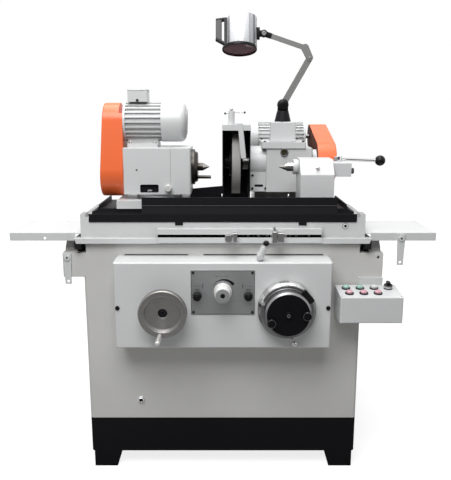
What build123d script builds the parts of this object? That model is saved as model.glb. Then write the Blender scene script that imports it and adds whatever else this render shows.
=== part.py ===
from build123d import *
import math
import os

os.makedirs("parts", exist_ok=True)

# Fits
RUN_GAP = 0.05
SLIDE_GAP = 0.1
FREE_GAP = 0.4
BELT_GAP = 0.3

# Base: plinth with feet, casting with the bed on top
BASE_WIDTH = 970.0
BASE_DEPTH = 760.0
BASE_CORNER = 12.0
FOOT_HEIGHT = 62.0
FOOT_WIDTH = 105.0
FOOT_DEPTH = 120.0
FOOT_TAPER = 12.0
FOOT_INSET = 9.0
PLINTH_HEIGHT = 133.0
COLUMN_HEIGHT = 520.0
BED_HEIGHT = 100.0
CASTING_WALL = 20.0
BED_PLATE = 40.0
ANCHOR_INSET = 65.0
ANCHOR_HOLE_RADIUS = 9.0
EAR_LENGTH = 70.0
EAR_HEIGHT = 86.0
EAR_DEPTH = 290.0
LIP_GAP = 6.0
REAR_COVER_WIDTH = 500.0
REAR_COVER_HEIGHT = 380.0
REAR_COVER_LIFT = 70.0
REAR_COVER_LAP = 20.0
REAR_COVER_THICKNESS = 4.0

# Bed ways under the table, one V and one flat, and the saddle ways under the wheelhead
WAY_HALF_WIDTH = 30.0
WAY_SIDE = 8.0
WAY_TOP_HALF_WIDTH = 6.0
FLAT_WAY_HEIGHT = 14.0
V_WAY_SETBACK = 75.0
FLAT_WAY_SETBACK = 235.0
TABLE_LIFT = 36.0
SADDLE_HEIGHT = 62.0
SADDLE_MARGIN = 2.0
SADDLE_WAY_SPACING = 206.0
NUT_WIDTH = 36.0
NUT_LENGTH = 44.0
NUT_SLOT_GAP = 4.0

# Table
TABLE_HALF_LENGTH = 488.0
TABLE_DEPTH = 300.0
TABLE_HEIGHT = 89.0
LEDGE_HEIGHT = 18.0
LEDGE_OVERHANG = 13.0
LEDGE_DEPTH = 20.0
RAIL_START = -223.0
RAIL_END = 337.0
RAIL_DEPTH = 25.0
RAIL_HEIGHT = 48.0
RAIL_LIFT = 4.0
SLOT_MOUTH = 10.0
SLOT_HEAD = 20.0
SLOT_MOUTH_DEPTH = 8.0
SLOT_HEAD_DEPTH = 8.0
DOG_DEPTH = 30.0
LEFT_DOG_START = 7.0
LEFT_DOG_WIDTH = 41.0
LEFT_DOG_POST_WIDTH = 13.0
LEFT_DOG_POST_HEIGHT = 31.0
LEFT_DOG_DISC_RADIUS = 12.0
RIGHT_DOG_START = 162.0
RIGHT_DOG_WIDTH = 55.0
RIGHT_DOG_POST_WIDTH = 16.0
RIGHT_DOG_POST_HEIGHT = 40.0
RIGHT_DOG_PIN_RADIUS = 5.0
RIGHT_DOG_PIN_HEIGHT = 14.0
RIGHT_DOG_CLAMP_WIDTH = 19.0
RIGHT_DOG_CLAMP_HEIGHT = 32.0
DOG_POST_GAP = 4.0
COVER_LENGTH = 232.0
COVER_DEPTH = 235.0
COVER_SHEET = 3.0
COVER_SKIRT = 24.0
COVER_LIFT = 13.0
WIPER_THICKNESS = 7.0
WIPER_TUCK = 15.0
WIPER_LAP = 19.0
UPPER_TABLE_HALF_LENGTH = 458.0
UPPER_TABLE_WIDTH = 216.0
UPPER_TABLE_THICKNESS = 22.0
END_LIP_HEIGHT = 15.0
END_LIP_WIDTH = 6.0
END_CURVE = 26.0
SWIVEL_PIN_RADIUS = 20.0
SWIVEL_PIN_LENGTH = 30.0
CLAMP_LUG_LENGTH = 18.0
CLAMP_LUG_HEIGHT = 10.0
TRAY_HALF_LENGTH = 458.0
TRAY_SHEET = 3.0
TRAY_DROP = 17.0
TRAY_RISE = 11.0
TRAY_FOOT = 8.0
TRAY_TAB_WIDTH = 27.0
TRAY_TAB_DROP = 11.0
TRAY_TAB_LEFT = -150.0
TRAY_TAB_RIGHT = 273.0
SPLASH_START = -277.0
SPLASH_END = 390.0
SPLASH_HEIGHT = 56.0
SPLASH_FOLD = 29.0
SPLASH_LEAN = 6.0

# Brace straps at the bed ears and way covers
BRACE_PITCH = 84.0
BRACE_THICKNESS = 5.0
BRACE_TOP_HALF = 13.5
BRACE_END_HALF = 10.0
BRACE_HEAD = 15.0
BRACE_TAIL = 10.0
BRACE_PIN_RADIUS = 5.0
BRACE_GAP = 1.0
EAR_HOLE_INSET = 17.0
EAR_HOLE_DROP = 16.0
EAR_HOLE_DEPTH = 22.0
COVER_HOLE_OFFSET = 112.0
COVER_HOLE_DROP = 15.0

# Apron with its handwheels, knobs and lever
APRON_HALF_WIDTH = 362.0
APRON_HEIGHT = 298.0
APRON_TOP_DROP = 8.0
APRON_DEPTH = 110.0
APRON_WALL = 10.0
PANEL_HALF_WIDTH = 106.0
PANEL_HEIGHT = 152.0
PANEL_DROP = 25.0
PANEL_THICKNESS = 3.0
HANDWHEEL_DROP = 156.0
TABLE_WHEEL_OFFSET = -196.0
FEED_WHEEL_OFFSET = 212.0
SHAFT_RADIUS = 12.0
TABLE_WHEEL_RADIUS = 80.0
TABLE_WHEEL_GAP = 44.0
TABLE_WHEEL_RIM = 26.0
TABLE_WHEEL_DISH = 14.0
TABLE_WHEEL_FACE = 20.0
GRIP_LENGTH = 80.0
GRIP_RADIUS = 8.0
GRIP_ANGLE = 263.0
DIAL_RADIUS = 96.0
DIAL_WIDTH = 34.0
DIAL_GAP = 3.0
FEED_WHEEL_RADIUS = 76.0
FEED_WHEEL_WIDTH = 40.0
FEED_WHEEL_CHAMFER = 6.0
FEED_CAP_DEPTH = 6.0
FEED_BOSS_RADIUS = 14.0
FEED_BOSS_CIRCLE = 60.0
GEAR_MODULE = 3.0
GEAR_TEETH = 28
GEAR_WIDTH = 16.0
GEAR_BACKLASH = 0.5
GEAR_GAP = 30.0
FEED_SCREW_LENGTH = 690.0
KNOB_STEM_RADIUS = 5.0
THROTTLE_RADIUS = 30.0
THROTTLE_TIP_RADIUS = 24.5
THROTTLE_LENGTH = 56.0
THROTTLE_DROP = 72.0
DWELL_RADIUS = 15.0
DWELL_LENGTH = 20.0
DWELL_SPREAD = 85.0
DWELL_DROP = 88.0
LEVER_OFFSET = 124.0
LEVER_SETBACK = 36.0
LEVER_LENGTH = 50.0
LEVER_LEAN = 23.0
LEVER_ROD_RADIUS = 5.0
LEVER_SLEEVE_RADIUS = 11.5
LEVER_SLEEVE_LENGTH = 37.0
LEVER_KNOB_RADIUS = 10.0
LEVER_HUB_RADIUS = 9.0
LEVER_HUB_WIDTH = 24.0
LEVER_STAND_HEIGHT = 14.0
LEVER_STAND_THICKNESS = 10.0

# Control pendant
PENDANT_WIDTH = 208.0
PENDANT_DEPTH = 120.0
PENDANT_HEIGHT = 90.0
PENDANT_RISE = 9.0
PENDANT_CENTRE = 493.0
PENDANT_WALL = 4.0
PENDANT_GAP = 10.0
PENDANT_ARM_HEIGHT = 121.0
PENDANT_ARM_DEPTH = 60.0
BUTTON_RADIUS = 11.0
BUTTON_COLLAR_RADIUS = 14.5
BUTTON_COLLAR_HEIGHT = 4.0
BUTTON_RISE = 7.0
BUTTON_STEM = 14.0
BUTTON_PITCH = 48.0
BUTTON_ROW_GAP = 48.0
BUTTON_FRONT_SHIFT = 3.0
SELECTOR_RISE = 20.0

# Centres: the work axis stands over the table, the wheel axis behind it
CENTRE_HEIGHT = 135.0
WORK_AXIS_SETBACK = 160.0
WHEEL_REST_GAP = 95.0

# Workhead
WORKHEAD_PIVOT = -230.0
WORKHEAD_LENGTH = 236.0
WORKHEAD_FRONT = 90.0
WORKHEAD_REAR = 68.0
WORKHEAD_TOP = 73.0
WORKHEAD_EDGE = 8.0
HEAD_BASE_THICKNESS = 28.0
HEAD_BASE_LENGTH = 245.0
HEAD_BASE_WIDTH = 170.0
HEAD_BLOCK_LENGTH = 94.0
HEAD_BLOCK_OVERHANG = 10.0
HEAD_DISC_RADIUS = 82.0
HEAD_DISC_THICKNESS = 18.0
HEAD_SPIGOT_RADIUS = 25.0
HEAD_SPIGOT_HEIGHT = 12.0
SPINDLE_RADIUS = 30.0
NOSE_RADIUS = 63.0
NOSE_LENGTH = 21.0
CENTRE_SHANK_RADIUS = 12.0
CENTRE_SHANK_LENGTH = 55.0
CENTRE_RADIUS = 14.0
CENTRE_COLLAR = 18.0
CENTRE_POINT = 25.0
DRIVE_PIN_RADIUS = 6.0
DRIVE_PIN_LENGTH = 47.0
DRIVE_PIN_CIRCLE = 37.0
LOCK_KNOB_RADIUS = 12.0
LOCK_KNOB_LENGTH = 24.0
LOCK_KNOB_OFFSET = 40.0
LOCK_KNOB_HEIGHT = 24.0
LOCK_STEM_LENGTH = 30.0
WINDOW_OFFSET = -27.0
WINDOW_WIDTH = 65.0
WINDOW_HEIGHT = 28.0
WINDOW_LIFT = 7.0
WINDOW_DEPTH = 10.0
WINDOW_CORNER = 6.0

# Belt drives
GUARD_WALL = 3.0
GUARD_EDGE = 4.0
PULLEY_WIDTH = 38.0
PULLEY_GAP = 20.0
BELT_THICKNESS = 5.0
BELT_WIDTH = 26.0
ROTOR_RADIUS = 9.5
WORK_PULLEY_RADIUS = 62.0
WORK_MOTOR_PULLEY_RADIUS = 34.0
WORK_GUARD_LOW_RADIUS = 89.0
WORK_GUARD_HIGH_RADIUS = 66.0
WORK_GUARD_SAG = 15.0
WORK_GUARD_LEAN = 16.0
WORK_GUARD_STEP = 13.0
WORK_GUARD_STEP_HEIGHT = 35.0
WORK_GUARD_WIDTH = 85.0
WHEEL_PULLEY_RADIUS = 50.0
WHEEL_MOTOR_PULLEY_RADIUS = 34.0
WHEEL_GUARD_LOW_RADIUS = 80.0
WHEEL_GUARD_HIGH_RADIUS = 50.0
WHEEL_GUARD_BELT_WIDTH = 72.0

# Motors
RIB_COUNT = 24
RIB_WIDTH = 5.0
RIB_HEIGHT = 8.0
COWL_LIP = 2.0
MOTOR_FOOT_THICKNESS = 14.0
WORK_MOTOR_RADIUS = 68.0
WORK_MOTOR_FRAME = 132.0
WORK_MOTOR_COWL = 86.0
WORK_MOTOR_LIFT = 19.0
WHEEL_MOTOR_RADIUS = 60.0
WHEEL_MOTOR_FRAME = 198.0
WHEEL_MOTOR_COWL = 35.0
WHEEL_MOTOR_SETBACK = 220.0
WHEEL_MOTOR_LIFT = 90.0
TERMINAL_LENGTH = 68.0
TERMINAL_DEPTH = 74.0
TERMINAL_HEIGHT = 40.0

# Tailstock
TAIL_OFFSET = 270.0
TAIL_LENGTH = 117.0
TAIL_FRONT = 100.0
TAIL_REAR = 45.0
TAIL_SHOULDER_DROP = 19.0
TAIL_RISE = 31.0
TAIL_SLOPE = 45.0
TAIL_BLOCK_LENGTH = 65.0
TAIL_BLOCK_FRONT = 65.0
TAIL_BLOCK_DROP = 29.0
TAIL_BLOCK_RISE = 17.5
TAIL_NOSE_RADIUS = 27.0
TAIL_NOSE_LENGTH = 17.0
QUILL_RADIUS = 16.0
QUILL_REACH = 25.0
QUILL_LENGTH = 205.0
TAIL_LEVER_HUB_RADIUS = 15.0
TAIL_LEVER_HUB_HEIGHT = 18.0
TAIL_LEVER_PIN_RADIUS = 7.0
TAIL_LEVER_PIN_LENGTH = 24.0
TAIL_LEVER_ROD_RADIUS = 6.0
TAIL_LEVER_REACH = 154.0
TAIL_LEVER_DROOP = 2.4
TAIL_LEVER_BALL_RADIUS = 19.0
TAIL_LEVER_SIDE = 27.0

# Wheelhead
WHEEL_RADIUS = 125.0
WHEEL_WIDTH = 32.0
WHEEL_CENTRE = 50.0
WHEEL_BORE_RADIUS = 38.0
WHEEL_FLANGE_RADIUS = 56.0
WHEEL_FLANGE_WIDTH = 10.0
WHEEL_NUT_RADIUS = 26.0
WHEEL_NUT_LENGTH = 18.0
GUARD_SIDE_GAP = 33.0
GUARD_SHEET = 4.0
GUARD_SETBACK = 9.0
GUARD_HEAD_GAP = 18.0
GUARD_TAIL_GAP = 14.0
GUARD_BROW = 21.0
GUARD_BROW_DEPTH = 26.0
GUARD_FLOOR_GAP = 6.0
APRON_SHEET_LENGTH = 190.0
APRON_SHEET_SETBACK = 136.0
APRON_SHEET_LOW = 13.0
APRON_SHEET_HIGH = 30.0
APRON_SHEET_SKIRT = 22.0
HEAD_OFFSET = 167.0
HEAD_LENGTH = 178.0
HEAD_FRONT = 66.0
HEAD_REAR = 150.0
HEAD_RISE = 56.0
HEAD_FLOOR_DROP = 112.0
HEAD_PLATE_THICKNESS = 24.0
HEAD_PLATE_LAP_LEFT = 18.0
HEAD_PLATE_LAP_RIGHT = 27.0
HEAD_PLATE_LAP = 6.0
HEAD_NOSE_RADIUS = 62.0
HEAD_BRACKET_DROP = 36.0
HEAD_BRACKET_SETBACK = 14.0
HEAD_BRACKET_DEPTH = 120.0
HEAD_CAP_RADIUS = 48.0
HEAD_CAP_LENGTH = 20.0
SLIDE_FRONT = 20.0
SLIDE_LENGTH = 300.0
MOTOR_SHELF_LENGTH = 160.0
SWITCH_BOX_OFFSET = 64.0
SWITCH_BOX_WIDTH = 96.0
SWITCH_BOX_DEPTH = 66.0
SWITCH_BOX_HEIGHT = 76.0
SWITCH_BOX_SETBACK = 20.0
SWITCH_BOX_EDGE = 3.0
SIGHT_RADIUS = 14.0
SIGHT_OFFSET = 68.0
SIGHT_RISE = 41.0
SIGHT_DEPTH = 4.0
NOZZLE_WIDTH = 19.0
NOZZLE_THICKNESS = 5.0
NOZZLE_DROP = 128.0
NOZZLE_LEAN = 6.0
NOZZLE_OFFSET = 13.0
TAP_OFFSET = 34.0
TAP_RADIUS = 12.0
TAP_HEIGHT = 50.0

# Lamp
LAMP_BASE_RADIUS = 32.0
LAMP_BASE_TOP_RADIUS = 22.0
LAMP_BASE_HEIGHT = 41.0
LAMP_SPIGOT_RADIUS = 8.0
LAMP_SPIGOT_LENGTH = 12.0
LAMP_CHEEK_RADIUS = 20.0
LAMP_PIVOT_LIFT = 23.0
LAMP_PIN_RADIUS = 4.0
LAMP_ARM_WIDTH = 24.0
LAMP_ARM_THICKNESS = 11.0
LAMP_FORK_THICKNESS = 3.0
LAMP_LOWER_LENGTH = 200.0
LAMP_LOWER_LEAN = 29.6
LAMP_CRANK_BACK = 19.0
LAMP_CRANK_RISE = 37.3
LAMP_CRANK_WIDTH = 28.0
LAMP_UPPER_LENGTH = 165.0
LAMP_UPPER_SLOPE = 18.2
LAMP_UPPER_WIDTH = 17.0
LAMP_HEAD_RADIUS = 56.0
LAMP_HEAD_HEIGHT = 114.0
LAMP_HEAD_WALL = 3.0
LAMP_HEAD_DROP = 65.0
LAMP_HEAD_TILT = 16.0
LAMP_BEZEL_HEIGHT = 12.0
LAMP_BEZEL_RADIUS = 66.0
LAMP_NECK = 26.0
LAMP_PAD_LENGTH = 10.0
LAMP_PAD_WIDTH = 26.0
LAMP_PAD_HEIGHT = 44.0
LAMP_HANDLE_REACH = 44.0
LAMP_HANDLE_WIDTH = 24.0
LAMP_HANDLE_GRIP = 23.0
LAMP_HANDLE_THICKNESS = 6.0
LAMP_HANDLE_SEAT = 12.0
LAMP_HANDLE_LIFT = 28.0
LAMP_HANDLE_SLANT = 22.0

# Fasteners and plugs
SCREW_HEAD_RADIUS = 5.0
SCREW_HEAD_HEIGHT = 4.0
PANEL_SCREW_INSET = 8.0
APRON_SCREW_INSET = 10.0
DRAIN_PLUG_OFFSET = -297.0
DRAIN_PLUG_LIFT = 73.0
DRAIN_PLUG_RADIUS = 12.5
DRAIN_PLUG_LENGTH = 9.0
APRON_PLUG_OFFSET = 242.0
APRON_PLUG_LIFT = 15.0
APRON_PLUG_RADIUS = 9.0

# Levels and planes that the pieces share
half_width = BASE_WIDTH / 2
front = -BASE_DEPTH / 2
back = BASE_DEPTH / 2
column_bottom = FOOT_HEIGHT + PLINTH_HEIGHT
bed_bottom = column_bottom + COLUMN_HEIGHT
bed_top = bed_bottom + BED_HEIGHT
v_way_y = front + V_WAY_SETBACK
flat_way_y = front + FLAT_WAY_SETBACK
flat_way_top = bed_top + FLAT_WAY_HEIGHT
ear_end = half_width + EAR_LENGTH
ear_bottom = bed_top - EAR_HEIGHT
table_bottom = bed_top + TABLE_LIFT
lip_top = table_bottom - LIP_GAP
ledge_top = table_bottom + LEDGE_HEIGHT
table_top = table_bottom + TABLE_HEIGHT
table_back = front + TABLE_DEPTH
ledge_end = TABLE_HALF_LENGTH + LEDGE_OVERHANG
upper_top = table_top + UPPER_TABLE_THICKNESS
rail_bottom = table_bottom + RAIL_LIFT
rail_front = front - RAIL_DEPTH
slot_z = rail_bottom + RAIL_HEIGHT / 2
work_y = front + WORK_AXIS_SETBACK
axis_z = upper_top + CENTRE_HEIGHT
wheel_y = work_y + WHEEL_REST_GAP + WHEEL_RADIUS
apron_front = front - APRON_DEPTH
apron_top = bed_top - APRON_TOP_DROP
apron_bottom = apron_top - APRON_HEIGHT
panel_front = apron_front - PANEL_THICKNESS
panel_top = apron_top - PANEL_DROP
handwheel_z = apron_top - HANDWHEEL_DROP
gear_pitch = GEAR_MODULE * GEAR_TEETH / 2
screw_x = FEED_WHEEL_OFFSET
screw_z = handwheel_z + 2 * gear_pitch
gear_back = front - GEAR_GAP
brace_back = front - BRACE_GAP
brace_front = brace_back - BRACE_THICKNESS
ear_hole_x = ear_end - EAR_HOLE_INSET
ear_hole_z = bed_top - EAR_HOLE_DROP
cover_hole_x = ledge_end + COVER_HOLE_OFFSET
cover_bottom = ledge_top + COVER_LIFT
cover_top = cover_bottom + COVER_SHEET
cover_hole_z = cover_bottom - COVER_HOLE_DROP
head_base_top = upper_top + HEAD_BASE_THICKNESS
head_bottom = head_base_top + HEAD_DISC_THICKNESS
head_left = WORKHEAD_PIVOT - WORKHEAD_LENGTH / 2
head_right = WORKHEAD_PIVOT + WORKHEAD_LENGTH / 2
head_front = work_y - WORKHEAD_FRONT
head_back = work_y + WORKHEAD_REAR
head_top = axis_z + WORKHEAD_TOP
nose_face = head_right + FREE_GAP + NOSE_LENGTH
work_motor_z = head_top + WORK_MOTOR_LIFT + WORK_MOTOR_RADIUS
work_guard_left = head_left - WORK_GUARD_WIDTH
work_pulley_left = work_guard_left + GUARD_WALL + PULLEY_GAP
work_pulley_right = work_pulley_left + PULLEY_WIDTH
tail_end = TAIL_OFFSET + TAIL_LENGTH
tail_block_end = tail_end + TAIL_BLOCK_LENGTH
tail_block_top = axis_z + TAIL_BLOCK_RISE
tail_lever_x = tail_end + TAIL_BLOCK_LENGTH / 2
tail_lever_y = work_y + TAIL_LEVER_SIDE
quill_front = TAIL_OFFSET - TAIL_NOSE_LENGTH - QUILL_REACH
wheel_left = WHEEL_CENTRE - WHEEL_WIDTH / 2
wheel_right = WHEEL_CENTRE + WHEEL_WIDTH / 2
guard_left = wheel_left - GUARD_SIDE_GAP - GUARD_SHEET
guard_right = wheel_right + GUARD_SIDE_GAP + GUARD_SHEET
guard_front = wheel_y - WHEEL_RADIUS + GUARD_SETBACK
guard_back = wheel_y + WHEEL_RADIUS + GUARD_TAIL_GAP + GUARD_SHEET
guard_top = axis_z + WHEEL_RADIUS + GUARD_HEAD_GAP + GUARD_SHEET
guard_floor = upper_top + GUARD_FLOOR_GAP
head_end = HEAD_OFFSET + HEAD_LENGTH
wheelhead_front = wheel_y - HEAD_FRONT
wheelhead_back = wheel_y + HEAD_REAR
wheelhead_floor = axis_z - HEAD_FLOOR_DROP
wheelhead_top = axis_z + HEAD_RISE
plate_top = wheelhead_top + HEAD_PLATE_THICKNESS
cap_face = head_end + HEAD_CAP_LENGTH
wheel_guard_right = cap_face + WHEEL_GUARD_BELT_WIDTH
wheel_pulley_right = wheel_guard_right - GUARD_WALL - PULLEY_GAP
wheel_pulley_left = wheel_pulley_right - PULLEY_WIDTH
wheel_motor_y = wheel_y + WHEEL_MOTOR_SETBACK
wheel_motor_z = axis_z + WHEEL_MOTOR_LIFT
shelf_top = wheel_motor_z - WHEEL_MOTOR_RADIUS - MOTOR_FOOT_THICKNESS
nut_slot_half = NUT_WIDTH / 2 + NUT_SLOT_GAP
saddle_v_x = screw_x - nut_slot_half - SADDLE_MARGIN - WAY_HALF_WIDTH
saddle_flat_x = saddle_v_x + SADDLE_WAY_SPACING
saddle_left = saddle_v_x - WAY_HALF_WIDTH - SADDLE_MARGIN
saddle_right = saddle_flat_x + WAY_HALF_WIDTH + SADDLE_MARGIN
saddle_top = bed_top + SADDLE_HEIGHT
saddle_front = table_back + FOOT_TAPER + CASTING_WALL
slide_front = wheel_y + SLIDE_FRONT
slide_back = slide_front + SLIDE_LENGTH
slide_bottom = saddle_top + FLAT_WAY_HEIGHT + SLIDE_GAP
nut_y = slide_front + SLIDE_LENGTH / 3
switch_left = HEAD_OFFSET + SWITCH_BOX_OFFSET - SWITCH_BOX_WIDTH / 2
switch_front = wheelhead_front + SWITCH_BOX_SETBACK
switch_top = plate_top + SWITCH_BOX_HEIGHT
lamp_x = switch_left + SWITCH_BOX_WIDTH / 2
lamp_y = switch_front + SWITCH_BOX_DEPTH / 2
lamp_pivot_z = switch_top + SLIDE_GAP + LAMP_BASE_HEIGHT + LAMP_PIVOT_LIFT
lamp_lean = math.radians(LAMP_LOWER_LEAN)
lamp_slope = math.radians(LAMP_UPPER_SLOPE)
elbow_x = lamp_x + LAMP_LOWER_LENGTH * math.sin(lamp_lean)
elbow_z = lamp_pivot_z + LAMP_LOWER_LENGTH * math.cos(lamp_lean)
crank_x = elbow_x - LAMP_CRANK_BACK
crank_z = elbow_z + LAMP_CRANK_RISE
lamp_head_pin_x = crank_x - LAMP_UPPER_LENGTH * math.cos(lamp_slope)
lamp_head_pin_z = crank_z + LAMP_UPPER_LENGTH * math.sin(lamp_slope)
fork_inner = LAMP_ARM_THICKNESS / 2 + FREE_GAP
fork_outer = fork_inner + LAMP_FORK_THICKNESS
pendant_left = PENDANT_CENTRE - PENDANT_WIDTH / 2
pendant_right = PENDANT_CENTRE + PENDANT_WIDTH / 2
pendant_back = front - PENDANT_GAP
pendant_front = pendant_back - PENDANT_DEPTH
pendant_bottom = ear_bottom - PENDANT_ARM_HEIGHT - PENDANT_WALL
pendant_top_front = pendant_bottom + PENDANT_HEIGHT
pendant_top_back = pendant_top_front + PENDANT_RISE
panel_tilt = math.degrees(math.atan2(PENDANT_RISE, PENDANT_DEPTH))
rear_cover_bottom = column_bottom + REAR_COVER_LIFT


def block(x0, x1, y0, y1, z0, z1, edge=0.0):
    """Box between the given planes, with every edge rounded when edge is given."""
    body = Pos((x0 + x1) / 2, (y0 + y1) / 2, (z0 + z1) / 2) * Box(abs(x1 - x0), abs(y1 - y0), abs(z1 - z0))
    if edge > 0:
        body = fillet(body.edges(), edge)
    return body


def rod_x(x0, x1, y, z, radius):
    return Pos((x0 + x1) / 2, y, z) * Rot(0, 90, 0) * Cylinder(radius, x1 - x0)


def rod_y(x, y0, y1, z, radius):
    return Pos(x, (y0 + y1) / 2, z) * Rot(90, 0, 0) * Cylinder(radius, y1 - y0)


def rod_z(x, y, z0, z1, radius):
    return Pos(x, y, (z0 + z1) / 2) * Cylinder(radius, z1 - z0)


def prism_x(points, x0, x1):
    """Outline given as (y, z) points, carried along X."""
    face = make_face(Polyline(*points, close=True))
    return extrude(Plane.YZ.offset(x0) * face, x1 - x0)


def prism_y(points, y0, y1):
    """Outline given as (x, z) points, carried along Y."""
    face = make_face(Polyline(*points, close=True))
    return extrude(Plane.XZ.offset(-y1) * face, y1 - y0)


def turned_x(points, y, z):
    """Outline of (x, radius) points turned about a line along X."""
    return Pos(0, y, z) * revolve(make_face(Polyline(*points, close=True)), Axis.X)


def turned_y(points, x, z):
    """Outline of (radius, y) points turned about a line along Y."""
    return Pos(x, 0, z) * revolve(make_face(Polyline(*points, close=True)), Axis.Y)


def loop_face(u0, v0, r0, u1, v1, r1):
    """Face bounded by two circles and their outer tangents, as a belt runs round two pulleys."""
    heading = math.atan2(v1 - v0, u1 - u0)
    spread = math.acos((r0 - r1) / math.hypot(u1 - u0, v1 - v0))

    def on(u, v, r, angle):
        return (u + r * math.cos(angle), v + r * math.sin(angle))

    a = on(u0, v0, r0, heading + spread)
    b = on(u0, v0, r0, heading - spread)
    c = on(u1, v1, r1, heading - spread)
    d = on(u1, v1, r1, heading + spread)
    low = ThreePointArc(a, on(u0, v0, r0, heading + math.pi), b)
    high = ThreePointArc(c, on(u1, v1, r1, heading), d)
    return make_face([low, Line(b, c), high, Line(d, a)])


def loop_x(x0, x1, *circles):
    return extrude(Plane.YZ.offset(x0) * loop_face(*circles), x1 - x0)


def loop_y(y0, y1, *circles):
    return extrude(Plane.XZ.offset(-y1) * loop_face(*circles), y1 - y0)


def rounded_prism(z0, z1):
    """Base outline in plan, upright edges rounded."""
    body = block(-half_width, half_width, front, back, z0, z1)
    return fillet(body.edges().filter_by(Axis.Z), BASE_CORNER)


def way_points(centre, floor, gap, low):
    """Section of a V way: ridge with gap 0, or the groove that rides on it with a gap."""
    side = floor + WAY_SIDE + gap
    top = side + WAY_HALF_WIDTH - WAY_TOP_HALF_WIDTH
    return [
        (centre - WAY_HALF_WIDTH, low),
        (centre + WAY_HALF_WIDTH, low),
        (centre + WAY_HALF_WIDTH, side),
        (centre + WAY_TOP_HALF_WIDTH, top),
        (centre - WAY_TOP_HALF_WIDTH, top),
        (centre - WAY_HALF_WIDTH, side),
    ]


def gear_face(first_angle):
    """Involute spur gear outline; first_angle is where a tooth's middle stands, in degrees."""
    pressure = math.radians(20)
    base_radius = gear_pitch * math.cos(pressure)
    root_radius = gear_pitch - 1.25 * GEAR_MODULE
    tip_radius = gear_pitch + GEAR_MODULE
    half_tooth = math.pi / (2 * GEAR_TEETH) - GEAR_BACKLASH / (4 * gear_pitch)

    def flank_angle(radius):
        roll = math.acos(base_radius / radius)
        return half_tooth + math.tan(pressure) - pressure - math.tan(roll) + roll

    def at(radius, angle):
        return (radius * math.cos(angle), radius * math.sin(angle))

    foot = max(base_radius, root_radius) + RUN_GAP
    middle = (foot + tip_radius) / 2
    edges = []
    for tooth in range(GEAR_TEETH):
        turn = math.radians(first_angle) + 2 * math.pi * tooth / GEAR_TEETH
        after = turn + 2 * math.pi / GEAR_TEETH
        root = flank_angle(foot)
        rising = [at(r, turn - flank_angle(r)) for r in (foot, middle, tip_radius)]
        falling = [at(r, turn + flank_angle(r)) for r in (tip_radius, middle, foot)]
        next_root = at(root_radius, after - root)
        edges.append(Line(at(root_radius, turn - root), rising[0]))
        edges.append(ThreePointArc(*rising))
        edges.append(Line(rising[2], falling[0]))
        edges.append(ThreePointArc(*falling))
        edges.append(Line(falling[2], at(root_radius, turn + root)))
        edges.append(Line(at(root_radius, turn + root), next_root))
    return make_face(edges)


def gear_y(x, z, first_angle):
    face = Plane.XZ.offset(-gear_back) * gear_face(first_angle)
    return Pos(x, 0, z) * extrude(face, GEAR_WIDTH)


def plinth():
    wall = CASTING_WALL
    body = rounded_prism(FOOT_HEIGHT, column_bottom)
    inner = half_width - wall
    body -= block(-inner, inner, front + wall, back - wall, FOOT_HEIGHT, column_bottom)
    envelope = rounded_prism(0, FOOT_HEIGHT)
    for side in (-1, 1):
        for y0, y1, hole_y in (
            (front, front + FOOT_DEPTH, front + ANCHOR_INSET),
            (back - FOOT_DEPTH, back, back - ANCHOR_INSET),
        ):
            inner = half_width - FOOT_WIDTH
            outer = half_width - FOOT_INSET
            outline = [
                (side * outer, 0),
                (side * outer, FOOT_HEIGHT),
                (side * inner, FOOT_HEIGHT),
                (side * (inner + FOOT_TAPER), 0),
            ]
            foot = prism_y(outline, y0, y1) & envelope
            foot -= rod_z(side * (half_width - ANCHOR_INSET), hole_y, 0, FOOT_HEIGHT, ANCHOR_HOLE_RADIUS)
            body += foot
    return body


def bed_ways():
    """V way and flat way along the bed, and the pair across it under the wheelhead."""
    ways = prism_x(way_points(v_way_y, bed_top, 0, bed_top), -ear_end, ear_end)
    ways += block(
        -ear_end, ear_end, flat_way_y - WAY_HALF_WIDTH, flat_way_y + WAY_HALF_WIDTH, bed_top, flat_way_top
    )
    saddle = block(saddle_left, saddle_right, saddle_front, back, bed_top, saddle_top)
    saddle += prism_y(way_points(saddle_v_x, saddle_top, 0, saddle_top), saddle_front, back)
    saddle += block(
        saddle_flat_x - WAY_HALF_WIDTH, saddle_flat_x + WAY_HALF_WIDTH, saddle_front, back,
        saddle_top, saddle_top + FLAT_WAY_HEIGHT,
    )
    return ways + saddle


def base_casting():
    wall = CASTING_WALL
    body = rounded_prism(column_bottom, bed_top)
    body -= block(
        -half_width + wall, half_width - wall, front + wall, back - wall, column_bottom, bed_top - BED_PLATE
    )
    for side in (-1, 1):
        body += block(
            side * (half_width - wall), side * ear_end, front, front + EAR_DEPTH, ear_bottom, bed_top
        )
    lip_end = half_width - BASE_CORNER
    body += block(-lip_end, lip_end, front, front + wall, bed_top, lip_top)
    body += bed_ways()
    body -= block(
        screw_x - nut_slot_half, screw_x + nut_slot_half, saddle_front + wall, back - 2 * wall,
        bed_top - BED_PLATE, saddle_top,
    )
    for x, z in ((TABLE_WHEEL_OFFSET, handwheel_z), (screw_x, handwheel_z), (screw_x, screw_z)):
        body -= rod_y(x, front, front + wall, z, SHAFT_RADIUS + RUN_GAP)
    for side in (-1, 1):
        body -= rod_y(
            side * ear_hole_x, front, front + EAR_HOLE_DEPTH, ear_hole_z, BRACE_PIN_RADIUS + RUN_GAP
        )
    body -= block(
        -REAR_COVER_WIDTH / 2 + REAR_COVER_LAP, REAR_COVER_WIDTH / 2 - REAR_COVER_LAP, back - wall, back,
        rear_cover_bottom + REAR_COVER_LAP, rear_cover_bottom + REAR_COVER_HEIGHT - REAR_COVER_LAP,
    )
    return body


def rear_cover():
    half = REAR_COVER_WIDTH / 2
    top = rear_cover_bottom + REAR_COVER_HEIGHT
    return block(-half, half, back, back + REAR_COVER_THICKNESS, rear_cover_bottom, top)


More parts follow.
